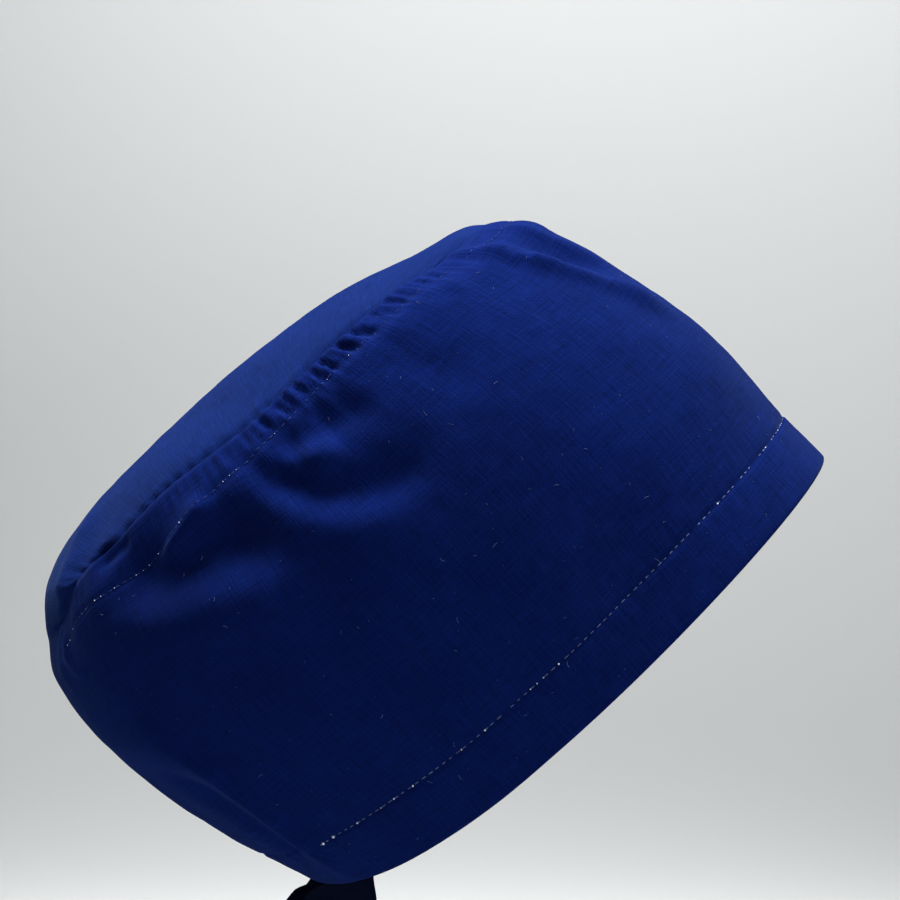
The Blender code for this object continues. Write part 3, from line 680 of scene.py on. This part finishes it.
def crown_surface(heights):
    """The crown panel's smooth outer face: rows from the front seam over the top and down the
    back, columns right to left. Its edges are the band's."""
    columns = seam_columns()
    front_row = wall_point(columns[SIDE_COLUMNS : SIDE_COLUMNS + FRONT_COLUMNS + 1], 1.0)
    across = front_row[:, 1] / front_row[-1, 1]
    edge = wall_point(columns[SIDE_COLUMNS + FRONT_COLUMNS :], 1.0)
    way = np.linspace(0.0, 1.0, SIDE_COLUMNS + 1)
    ridge_x, ridge_z = ridge_line(way)
    arch = np.abs(across) ** ARCH_POWER
    top = np.stack(
        [
            ridge_x[:, None] + (edge[:, 0] - ridge_x)[:, None] * arch,
            edge[:, 1][:, None] * across,
            ridge_z[:, None] + (edge[:, 2] - ridge_z)[:, None] * arch,
        ],
        axis=-1,
    )
    sideways = TONGUE_HALF_WIDTH * from_table(TONGUE_WIDTHS, heights[:, None]) * across
    turned = back_angle(sideways, heights[:, None]) * np.where(across < 0, -1, 1)
    back = wall_point(turned, heights[:, None])
    near_front = 1 - faded(0.0, FRONT_BLEND, way)[:, None, None]
    near_back = faded(1 - BACK_BLEND, 1.0, way)[:, None, None]
    top = top + (front_row - top[0]) * near_front + (back[0] - top[-1]) * near_back
    return np.concatenate([top, back[1:]])


def crown_grid():
    """The crown's outer face. Its border lies under the band's edge, as its seam allowance."""
    heights = np.linspace(1.0, 0.0, 73)
    smooth = crown_surface(heights)
    rows, columns = smooth.shape[:2]
    side = np.linspace(-1, 1, columns)[None, :]
    way = np.arange(rows)[:, None] / SIDE_COLUMNS
    folds = fold_lift(CROWN_FOLDS, way, side, (CROWN_LENGTH, CROWN_HALF_WIDTH))
    x, y = way * CROWN_LENGTH, side * CROWN_HALF_WIDTH
    soft = rumple(x, y, CROWN_RUMPLES)
    flutes = 0.0006 * np.sin(x * math.tau / 0.0078 + 1.7 * np.sin(x * 120)) * np.abs(side) ** 14
    inside = np.minimum(1 - np.abs(side), way)
    ditch = (1 - faded(0.0, DITCH_REACH, 1 - np.abs(side))) * faded(*DITCH_START, way)
    sink = CROWN_SINK + DITCH_SINK * ditch * (1 - faded(*DITCH_END, way))
    face = raised(smooth, folds + (soft + flutes) * faded(0.0, 0.05, inside) - sink)
    flat = np.stack(np.broadcast_arrays(x, y), axis=-1).copy()
    return face, flat, heights


def crown_border(face, flat, heights):
    """Adds the crown's seam allowance: it passes under the band's folded edge."""
    rows, columns = face.shape[:2]
    seam = seam_columns()
    grid = np.zeros((rows + 2, columns + 4, 3))
    cloth = np.zeros((rows + 2, columns + 4, 2))
    grid[2:, 2:-2], cloth[2:, 2:-2] = face, flat
    tucks = (ALLOWANCE * 0.9, 0.0015)
    front = seam[SIDE_COLUMNS : SIDE_COLUMNS + FRONT_COLUMNS + 1]
    deep = 2 * ROLL_RADIUS + 0.0007
    for k, tuck in enumerate(tucks):
        grid[k, 2:-2] = band_point(front, 1 - tuck / SEAM_HEIGHT, deep)
        cloth[k, 2:-2] = flat[0] - np.array([tuck, 0.0])
        for row in range(rows):
            to_corner = abs(row - SIDE_COLUMNS) * 0.0014
            narrow = min(tuck, 0.0004 * (2 - k) + to_corner)
            on_top = row <= SIDE_COLUMNS
            height = 1 - narrow / SEAM_HEIGHT if on_top else heights[row - SIDE_COLUMNS]
            for side, index in ((-1, k), (1, -1 - k)):
                if on_top:
                    angle = side * seam[SIDE_COLUMNS + FRONT_COLUMNS + row]
                else:
                    angle = side * (float(seam_angle(height)) - narrow / BACK_REACH)
                point = band_point(np.array([angle]), np.array([height]), deep)[0]
                grid[row + 2, index] = point
                cloth[row + 2, index] = flat[row, 0 if side < 0 else -1] + [0.0, side * narrow]
    for k in (0, 1):
        for index in (0, 1, -2, -1):
            near = 2 if index >= 0 else -3
            grid[k, index] = (grid[k, near] + grid[2, index]) / 2
            cloth[k, index] = (cloth[k, near] + cloth[2, index]) / 2
    return grid, cloth


def knot_centre():
    """The knot's middle, below and behind the crown panel's lower edge."""
    return wall_point(math.pi, 0.0) + np.array([-KNOT_BACK, 0.0, -KNOT_DROP])


def knot_reach(way):
    """How far the knot's surface is from its middle, along a unit direction."""
    return 1 / math.sqrt(sum((a / half) ** 2 for a, half in zip(way, KNOT_HALF_SIZE)))


def tie_grid(side):
    """A tie's middle face, from inside the hem's end to the knot: rows along, columns across."""
    way = np.linspace(0.0, 1.0, TIE_ROWS + 1)[:, None]
    share = np.linspace(0.0, 1.0, STRAP_COLUMNS + 1)[None, :]
    to_knot = faded(TIE_LEAVES, 1.0, way)[..., None]
    level = TIE_LOW + (TIE_HIGH - TIE_LOW) * share - TIE_SAG * faded(0.0, TIE_SAGGED, way) / SEAM_HEIGHT
    height = np.maximum(level, 0.0)
    angle = side * math.pi * (TIE_START + (TIE_END - TIE_START) * way) + 0 * share
    wall = wall_point(angle, height) - wall_normal(angle, height) * TIE_SINK
    wall[..., 2] += (level - height) * SEAM_HEIGHT
    end = knot_centre() + np.array([0.0, side * TIE_INTO_KNOT, 0.0])
    end = end + np.array(KNOT_LINE) * (share[..., None] - 0.5) * TIE_PINCH
    grid = wall + (end - wall) * to_knot
    crumple = 0.0009 * np.sin(share * math.tau * 1.5 + 3 * way) * faded(0.45, 0.9, way)
    return raised(grid, crumple)


def tail_grid(side):
    """A hanging tail's middle face, from under the knot straight down as it is worn."""
    sizes = bpy.context.scene.cap_sizes
    down = np.array([-math.sin(WORN_TILT), 0.0, -math.cos(WORN_TILT)])
    level = np.array([math.cos(WORN_TILT), 0.0, -math.sin(WORN_TILT)])
    aside = np.array([0.0, side, 0.0])
    broad = level * math.cos(TAIL_TURN) + aside * math.sin(TAIL_TURN)
    start = knot_centre() + down * knot_reach(down) * TAIL_START + aside * TAIL_SPACING
    fall = np.linspace(0.0, 1.0, TAIL_ROWS + 1)[:, None, None]
    share = np.linspace(0.0, 1.0, STRAP_COLUMNS + 1)[None, :, None] - 0.5
    full = TAIL_NECK + (1 - TAIL_NECK) * faded(0.0, TAIL_NECK_SHARE, fall)
    swing = aside * TAIL_SWING * faded(0.0, TAIL_SWING_SHARE, fall)
    sway = broad * side * TAIL_SWAY * np.sin(TAIL_SWAY_TURN * fall)
    length = sizes.tail_length + TAIL_HIDDEN
    grid = start + down * length * fall + swing + sway + broad * sizes.tie_width * full * share
    curl = 0.0016 * np.sin(share[..., 0] * math.tau * 1.2 + 2.2 * side) * (1 - fall[..., 0])
    curl = curl + 0.0008 * np.sin(fall[..., 0] * 17 + side) + 0.0006 * np.cos(share[..., 0] * 9)
    return raised(grid, curl)


def new_object(name, bm, material):
    """Put a finished mesh in the scene as a piece that rides on the cap."""
    bmesh.ops.recalc_face_normals(bm, faces=bm.faces)
    mesh = bpy.data.meshes.new(name)
    bm.to_mesh(mesh)
    bm.free()
    mesh.materials.append(material)
    mesh.shade_smooth()
    made = bpy.data.objects.new(name, mesh)
    bpy.context.scene.collection.objects.link(made)
    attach(made, "root")
    return made


def cloth_sheet(name, outer, flat, thickness, material):
    """A cloth sheet as a closed body: a grid shaped to its outer face, given its thickness, with
    the flat cloth's own place in metres as its UV map."""
    rows, columns = outer.shape[:2]
    thickness = np.broadcast_to(thickness, (rows, columns))
    inner = outer - normals_of(outer) * thickness[..., None]
    outer, inner = placed(outer), placed(inner)
    bm = bmesh.new()
    cell = bm.verts.layers.int.new("cell")
    bmesh.ops.create_grid(bm, x_segments=columns - 1, y_segments=rows - 1, size=1.0)
    bm.verts.ensure_lookup_table()
    for index, vertex in enumerate(bm.verts):
        vertex[cell] = index
        vertex.co = outer[divmod(index, columns)]
    made = bmesh.ops.extrude_face_region(bm, geom=bm.faces[:], use_keep_orig=True)["geom"]
    for vertex in [item for item in made if isinstance(item, bmesh.types.BMVert)]:
        vertex.co = inner[divmod(vertex[cell], columns)]
    cloth = bm.loops.layers.uv.new("cloth")
    for face in bm.faces:
        for loop in face.loops:
            loop[cloth].uv = flat[divmod(loop.vert[cell], columns)]
    return new_object(name, bm, material)


def strap_thickness(rows):
    """A tie is sewn from a folded strip: its edges are thin and the fold's lips stand beside."""
    share = np.linspace(-1.0, 1.0, STRAP_COLUMNS + 1)
    body = 0.0011 + groove(np.abs(share) - 0.86, 0.0003, 0.10)
    return np.broadcast_to(body * (1 - 0.55 * np.abs(share) ** 16), (rows, len(share)))


def strap_flat(grid):
    """The flat cloth's place for each point of a strap."""
    rows, columns = grid.shape[:2]
    along = np.linspace(0, 0.11, rows)[:, None]
    across = np.linspace(0, 0.025, columns)[None, :]
    return np.stack(np.broadcast_arrays(along, across), axis=-1).copy()


def set_inputs(tree, node, values):
    """Set a node's inputs from values or from other nodes' sockets."""
    for name, value in values.items():
        if isinstance(value, bpy.types.NodeSocket):
            tree.links.new(value, node.inputs[name])
        else:
            node.inputs[name].default_value = value


def new_node(tree, kind, values):
    """A shader node with its inputs set."""
    node = tree.nodes.new(f"ShaderNode{kind}")
    set_inputs(tree, node, values)
    return node


def math_node(tree, operation, first, second):
    """A math node of two inputs."""
    node = tree.nodes.new("ShaderNodeMath")
    node.operation = operation
    set_inputs(tree, node, {0: first, 1: second})
    return node.outputs[0]


def noise(tree, place, scale, detail=2.0, roughness=0.5):
    """Soft noise over the cloth."""
    values = {"Vector": place, "Scale": scale, "Detail": detail, "Roughness": roughness}
    return new_node(tree, "TexNoise", values).outputs["Fac"]


def relief(tree, strength, distance, height):
    """Normals that follow a height."""
    values = {"Strength": strength, "Distance": distance, "Height": height}
    return new_node(tree, "Bump", values).outputs["Normal"]


def new_material(name):
    """A material, its node tree and its shader."""
    material = bpy.data.materials.new(name)
    material.use_nodes = True
    return material, material.node_tree, material.node_tree.nodes["Principled BSDF"]


def woven_material(name, colour):
    """Cotton poplin: crossing threads, slubs in both directions, a soft nap and uneven dye."""
    material, tree, shader = new_material(name)

    def times(first, second):
        return math_node(tree, "MULTIPLY", first, second)

    def plus(first, second):
        return math_node(tree, "ADD", first, second)

    place = tree.nodes.new("ShaderNodeUVMap")
    place.uv_map = "cloth"
    place = place.outputs["UV"]
    along = new_node(tree, "SeparateXYZ", {"Vector": place}).outputs
    threads = [
        math_node(tree, "SINE", times(along[axis], math.tau / THREAD_PITCH), 0.0) for axis in "XY"
    ]
    crossing = times(*threads)
    slubs = []
    for scale in SLUB_SCALES:
        drawn = new_node(tree, "Mapping", {"Vector": place, "Scale": scale})
        slubs.append(noise(tree, drawn.outputs["Vector"], 1.0))
    slubs = plus(*slubs)
    fuzz = noise(tree, place, FUZZ_SCALE, 3.0, 0.7)
    height = plus(plus(times(crossing, 0.16), slubs), times(fuzz, 0.8))
    shade = plus(times(noise(tree, place, MOTTLE_SCALE, 3.0), 0.40), -0.08)
    shade = plus(plus(shade, times(slubs, 0.85)), times(crossing, 0.10))
    grey = new_node(tree, "CombineColor", {"Red": shade, "Green": shade, "Blue": shade})
    tint = tree.nodes.new("ShaderNodeMix")
    tint.data_type = "RGBA"
    tint.blend_type = "MULTIPLY"
    set_inputs(tree, tint, {"Factor": 1.0, "A": (*colour, 1.0), "B": grey.outputs["Color"]})
    look = {
        "Base Color": tint.outputs["Result"],
        "Normal": relief(tree, 0.55, WEAVE_RELIEF, height),
        "Roughness": plus(times(fuzz, 0.15), 0.70),
        "Specular IOR Level": 0.0,
        "Sheen Weight": 0.035,
        "Sheen Roughness": 0.45,
        "Sheen Tint": (*bpy.context.scene.cap_colours.sheen, 1.0),
    }
    set_inputs(tree, shader, look)
    return material


def thread_material(name, colour, roughness=0.6):
    """Sewing thread or lint: twisted fibres with uneven tone. Also the needle holes' painted shade."""
    material, tree, shader = new_material(name)
    twist = noise(tree, tree.nodes.new("ShaderNodeTexCoord").outputs["Object"], TWIST_SCALE)
    ramp = new_node(tree, "ValToRGB", {"Fac": twist})
    for element, share in zip(ramp.color_ramp.elements, THREAD_SHADES):
        element.color = (*[min(value * share, 1.0) for value in colour], 1.0)
    look = {
        "Base Color": ramp.outputs["Color"],
        "Normal": relief(tree, 0.5, THREAD_RELIEF, twist),
        "Roughness": roughness,
        "Specular IOR Level": 0.1,
    }
    set_inputs(tree, shader, look)
    return material


def add_ball(bm, centre, radius, subdivisions=1):
    """A small ball: a thread's end, a knot, or the painted shade in a needle's hole."""
    made = bmesh.ops.create_icosphere(bm, subdivisions=subdivisions, radius=radius)["verts"]
    bmesh.ops.translate(bm, vec=Vector(centre), verts=made)


def add_stitch(bm, start, end, up, radius):
    """One stitch: a short length of thread that dips into the cloth at both ends."""
    way = Vector(end) - Vector(start)
    if way.length < 1e-7:
        return
    made = bmesh.ops.create_icosphere(bm, subdivisions=1, radius=1.0)["verts"]
    along = way.normalized()
    up = Vector(up).normalized()
    across = along.cross(up).normalized()
    middle = (Vector(start) + Vector(end)) / 2
    turn = Matrix((along * (way.length / 2), across * radius, up * radius * THREAD_FLATNESS))
    place = Matrix.Translation(middle) @ turn.transposed().to_4x4()
    bmesh.ops.transform(bm, matrix=place, verts=made)


def stitch_row(bm, angles, heights, radius, depth):
    """Stitches along a line on the band, one after another at a stitch's length. Some lie hidden
    in the cloth and are left out."""
    length = bpy.context.scene.cap_sizes.stitch_length
    line = band_point(angles, heights)
    normal = wall_normal(angles, heights)
    way = np.concatenate([[0], np.cumsum(np.linalg.norm(np.diff(line, axis=0), axis=1))])
    starts = np.arange(0.0, way[-1] - length, length)
    draws = np.random.default_rng(len(starts))

    def at(where, curve):
        return np.array([np.interp(where, way, curve[:, i]) for i in range(3)])

    places = []
    for a in starts:
        if draws.random() < SKIPPED:
            continue
        b = a + length * STITCH_SHARE * draws.uniform(*STITCH_VARIES)
        up = at((a + b) / 2, normal)
        raise_by = up * (radius * THREAD_RAISED - depth)
        first, last = at(a, line) + raise_by, at(b, line) + raise_by
        start, end, far = placed(np.array([first, last, first + up]))
        add_stitch(bm, start, end, far - start, radius)
        places.append((start, far - start))
    return places


class CAP_OT_side_band(bpy.types.Operator):
    """Build the side band with its hem, gathers and folds"""

    bl_idname = "cap.side_band"
    bl_label = "Side Band"

    def execute(self, context):
        sizes, colours = context.scene.cap_sizes, context.scene.cap_colours
        outer, flat = band_grid()
        material = woven_material("navy_poplin_band", colours.band)
        band = cloth_sheet("side_band_cloth", outer, flat, sizes.ply, material)
        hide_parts("side_band")
        return {"FINISHED"}


class CAP_OT_crown_panel(bpy.types.Operator):
    """Build the crown panel, from the front seam over the top and down the back"""

    bl_idname = "cap.crown_panel"
    bl_label = "Crown Panel"

    def execute(self, context):
        sizes, colours = context.scene.cap_sizes, context.scene.cap_colours
        grid, flat = crown_border(*crown_grid())
        material = woven_material("navy_poplin_crown", colours.crown)
        crown = cloth_sheet("crown_panel_cloth", grid, flat, sizes.ply, material)
        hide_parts("crown_panel")
        return {"FINISHED"}


class CAP_OT_ties(bpy.types.Operator):
    """Build the two ties and their hanging tails"""

    bl_idname = "cap.ties"
    bl_label = "Ties"

    def execute(self, context):
        # Painted shade: the ties' and tails' navy cloth takes the darkened tie colour, which stands for
        # the shadow under the cap.
        material = woven_material("navy_poplin_tie_painted_shade", context.scene.cap_colours.tie)
        for side, name in ((-1, "right"), (1, "left")):
            for kind, grid, flat_size, held in (
                ("tie", tie_grid(side), TIE_FLAT_SIZE, "stretched"),
                ("tail", tail_grid(side), TAIL_FLAT_SIZE, "hung"),
            ):
                if kind == "tie" and side == 1:
                    grid = grid[:, ::-1]
                thickness = strap_thickness(len(grid))
                outer = raised(grid, thickness / 2)
                strap = cloth_sheet(
                    f"{kind}_{name}_cloth", outer, strap_flat(grid), thickness, material
                )
                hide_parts(f"{kind}_{name}")
        return {"FINISHED"}


class CAP_OT_knot(bpy.types.Operator):
    """Build the knot from turns of the tie's cloth"""

    bl_idname = "cap.knot"
    bl_label = "Knot"

    def execute(self, context):
        # Painted shade: the knot's navy cloth takes the ties' darkened colour, which stands for the
        # shadow under the cap.
        material = woven_material("navy_poplin_knot_painted_shade", context.scene.cap_colours.tie)
        bm = bmesh.new()
        bmesh.ops.create_uvsphere(bm, u_segments=96, v_segments=64, radius=1.0)
        centre = knot_centre()
        cloth = bm.loops.layers.uv.new("cloth")
        for vertex in bm.verts:
            way = np.array(vertex.co)
            turn = math.atan2(way[1], way[0])
            lay = 2.4 * way[2] + 0.9 * math.sin(turn)
            creases = abs(math.sin(1.7 * lay + 1.1)) ** 0.6
            crumple = 0.5 * math.sin(5 * turn + 3 * way[2]) + 0.5 * math.sin(9 * way[0] + 7 * way[1])
            reach = knot_reach(way) * (0.90 + 0.12 * creases + 0.02 * crumple)
            vertex.co = placed(centre + way * reach)
        for face in bm.faces:
            for loop in face.loops:
                place = loop.vert.co
                loop[cloth].uv = (place.x + place.y, place.z)
        knot = new_object("knot_wraps", bm, material)
        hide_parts("tie_knot")
        return {"FINISHED"}


class CAP_OT_stitching(bpy.types.Operator):
    """Sew the hem's and the crown seam's rows of stitches"""

    bl_idname = "cap.stitching"
    bl_label = "Stitching"

    def execute(self, context):
        sizes, colours = context.scene.cap_sizes, context.scene.cap_colours
        grey = thread_material("grey_thread", colours.hem_thread)
        navy = thread_material("navy_thread", colours.seam_thread, 0.8)
        white = thread_material("white_thread", colours.thread_ends)
        dark = thread_material("needle_shadow", colours.needle_hole_shade, 0.9)
        hem_height = sizes.hem_depth / SEAM_HEIGHT
        end = HEM_ROW_END * math.pi
        angles = np.linspace(-end, end, ROW_PLACES)
        heights = np.full_like(angles, hem_height)
        hem = bmesh.new()
        places = stitch_row(hem, angles, heights, sizes.thread_radius, HEM_THREAD_SUNK)
        new_object("hem_stitches", hem, grey)
        end = float(seam_angle(1.0)) - SEAM_ROW_GAP
        angles = np.linspace(-end, end, ROW_PLACES)
        heights = 1 - from_table(TOPSTITCH_DROPS, np.abs(angles) / math.pi) / SEAM_HEIGHT
        top = bmesh.new()
        top_places = stitch_row(top, angles, heights, sizes.thread_radius * 1.1, SEAM_THREAD_SUNK)
        new_object("seam_stitches", top, navy)
        draws = np.random.default_rng(12)
        dots = bmesh.new()
        for group, chances, size in ((places, HEM_DOTS, HEM_DOT), (top_places, SEAM_DOTS, SEAM_DOT)):
            shares = np.abs(np.linspace(-1, 1, len(group)))
            for (place, up), chance in zip(group, from_table(chances, shares)):
                if draws.random() < chance:
                    radius = size * draws.uniform(*DOT_VARIES)
                    add_ball(dots, Vector(place) + Vector(up) * DOT_RAISED, radius)
        for side, marks in ((-1, RIGHT_HEM_MARKS), (1, LEFT_HEM_MARKS)):
            for around, radius in marks:
                raised_by = np.array([0, -MARK_RAISED])
                pair = band_point(side * around * math.pi, np.array([hem_height] * 2), raised_by)
                add_ball(dots, placed(pair)[1], radius * MM, 2)
        new_object("thread_ends", dots, white)
        # Painted shade: a near-black ball sunk under each stitch's start stands for the shadow in its
        # needle hole.
        holes = bmesh.new()
        for place, up in places + top_places:
            add_ball(holes, Vector(place) - Vector(up) * HOLE_SHADE_SUNK, HOLE_SHADE_RADIUS)
        new_object("needle_hole_shade", holes, dark)
        return {"FINISHED"}


class CAP_OT_lint(bpy.types.Operator):
    """Scatter short pale lint fibres over the cloth"""

    bl_idname = "cap.lint"
    bl_label = "Lint"

    def execute(self, context):
        draws = np.random.default_rng(7)
        pale = thread_material("pale_lint", context.scene.cap_colours.lint, 0.8)
        bm = bmesh.new()
        for _ in range(context.scene.cap_sizes.lint_count):
            angle = draws.uniform(*LINT_AROUND) * math.pi
            height = draws.uniform(*LINT_HEIGHTS)
            turn, curl = draws.uniform(0, math.tau), draws.uniform(-1.0, 1.0)
            length = LINT_LENGTHS[0] + LINT_LENGTHS[1] * draws.random() ** 4
            radius = draws.uniform(*LINT_RADII)
            bend = turn + curl * np.linspace(-1.4, 1.4, LINT_STEPS)
            x = np.cumsum(np.cos(bend)) * length / LINT_STEPS
            y = np.cumsum(np.sin(bend)) * length / LINT_STEPS
            around = angle + x / MEAN_RADIUS
            level = height + y / SEAM_HEIGHT
            points = placed(band_point(around, level, -LINT_RAISED))
            up = placed(band_point(around, level, -0.01)) - points
            for k in range(LINT_STEPS - 1):
                reach = (points[k + 1] - points[k]) * 0.12
                add_stitch(bm, points[k] - reach, points[k + 1] + reach, up[k], radius)
        new_object("lint_fibres", bm, pale)
        return {"FINISHED"}


class CAP_OT_stage(bpy.types.Operator):
    """Set the pale floor, the soft lights and the camera"""

    bl_idname = "cap.stage"
    bl_label = "Stage"

    def execute(self, context):
        scene = context.scene
        anchor = placed(np.array(ANCHOR_ON_CAP)) - np.array(ANCHOR_IN_VIEW)
        camera_data = bpy.data.cameras.new("view")
        camera_data.lens = CAMERA_LENS
        camera_data.sensor_width = 36.0
        camera_data.clip_start = 0.01
        camera = bpy.data.objects.new("view", camera_data)
        camera.location = (anchor[0], -CAMERA_DISTANCE, anchor[2])
        camera.rotation_euler = (math.pi / 2, 0.0, 0.0)
        scene.collection.objects.link(camera)
        scene.camera = camera
        self.add_floor(context)
        for light in LIGHTS:
            self.add_light(*light)
        world = bpy.data.worlds.new("studio")
        world.use_nodes = True
        background = world.node_tree.nodes["Background"]
        set_inputs(world.node_tree, background, {"Color": WORLD_COLOUR, "Strength": WORLD_STRENGTH})
        scene.world = world
        scene.view_settings.view_transform = "Standard"
        return {"FINISHED"}

    def add_floor(self, context):
        """A pale sweep under and behind the cap."""
        material, tree, shader = new_material("pale_floor")
        colour = (*context.scene.cap_colours.floor, 1.0)
        set_inputs(tree, shader, {"Base Color": colour, "Roughness": 0.9})
        bm = bmesh.new()
        bmesh.ops.create_grid(bm, x_segments=12, y_segments=280, size=1.0)
        level = CAD_BOX[0].z - FLOOR_GAP
        for vertex in bm.verts:
            vertex.co = [math.copysign(FLOOR_REACH * abs(value) ** 1.5, value) for value in vertex.co]
            behind = max(vertex.co.y - SWEEP_START, 0.0)
            turn = min(behind / SWEEP_RADIUS, 1.0) * math.pi / 2
            rise = SWEEP_RADIUS * (1 - math.cos(turn)) + max(behind - SWEEP_RADIUS, 0.0)
            vertex.co.z = level + rise
            vertex.co.y = min(vertex.co.y, SWEEP_START + SWEEP_RADIUS * math.sin(turn))
        mesh = bpy.data.meshes.new("floor")
        bm.to_mesh(mesh)
        bm.free()
        mesh.materials.append(material)
        mesh.shade_smooth()
        floor = bpy.data.objects.new("floor", mesh)
        context.scene.collection.objects.link(floor)

    def add_light(self, name, place, size, power, target, spread):
        """A soft square light that looks at its target, spreading over some degrees."""
        data = bpy.data.lights.new(name, "AREA")
        data.size = size
        data.energy = power
        data.spread = math.radians(spread)
        light = bpy.data.objects.new(name, data)
        light.location = place
        light.rotation_euler = (Vector(target) - Vector(place)).to_track_quat("-Z", "Y").to_euler()
        bpy.context.scene.collection.objects.link(light)


class CAP_PT_panel(bpy.types.Panel):
    """The cap's pieces, sizes and colours"""

    bl_idname = "CAP_PT_panel"
    bl_label = "Scrub Cap"
    bl_space_type = "VIEW_3D"
    bl_region_type = "UI"
    bl_category = "Scrub Cap"

    def draw(self, context):
        layout = self.layout
        for group in (context.scene.cap_sizes, context.scene.cap_colours):
            for name in group.bl_rna.properties.keys():
                if name not in ("rna_type", "name"):
                    layout.prop(group, name)
        for operator in OPERATORS:
            layout.operator(operator.bl_idname)


OPERATORS = (
    CAP_OT_stage,
    CAP_OT_side_band,
    CAP_OT_crown_panel,
    CAP_OT_knot,
    CAP_OT_ties,
    CAP_OT_stitching,
    CAP_OT_lint,
)
CLASSES = (CapSizes, CapColours, *OPERATORS, CAP_PT_panel)


def register():
    for cls in CLASSES:
        bpy.utils.register_class(cls)
    bpy.types.Scene.cap_sizes = PointerProperty(type=CapSizes)
    bpy.types.Scene.cap_colours = PointerProperty(type=CapColours)


def unregister():
    del bpy.types.Scene.cap_sizes
    del bpy.types.Scene.cap_colours
    for cls in reversed(CLASSES):
        bpy.utils.unregister_class(cls)


def main():
    register()
    bpy.ops.cap.stage()
    bpy.ops.cap.side_band()
    bpy.ops.cap.crown_panel()
    bpy.ops.cap.knot()
    bpy.ops.cap.ties()
    bpy.ops.cap.stitching()
    bpy.ops.cap.lint()


if __name__ == "__main__":
    main()
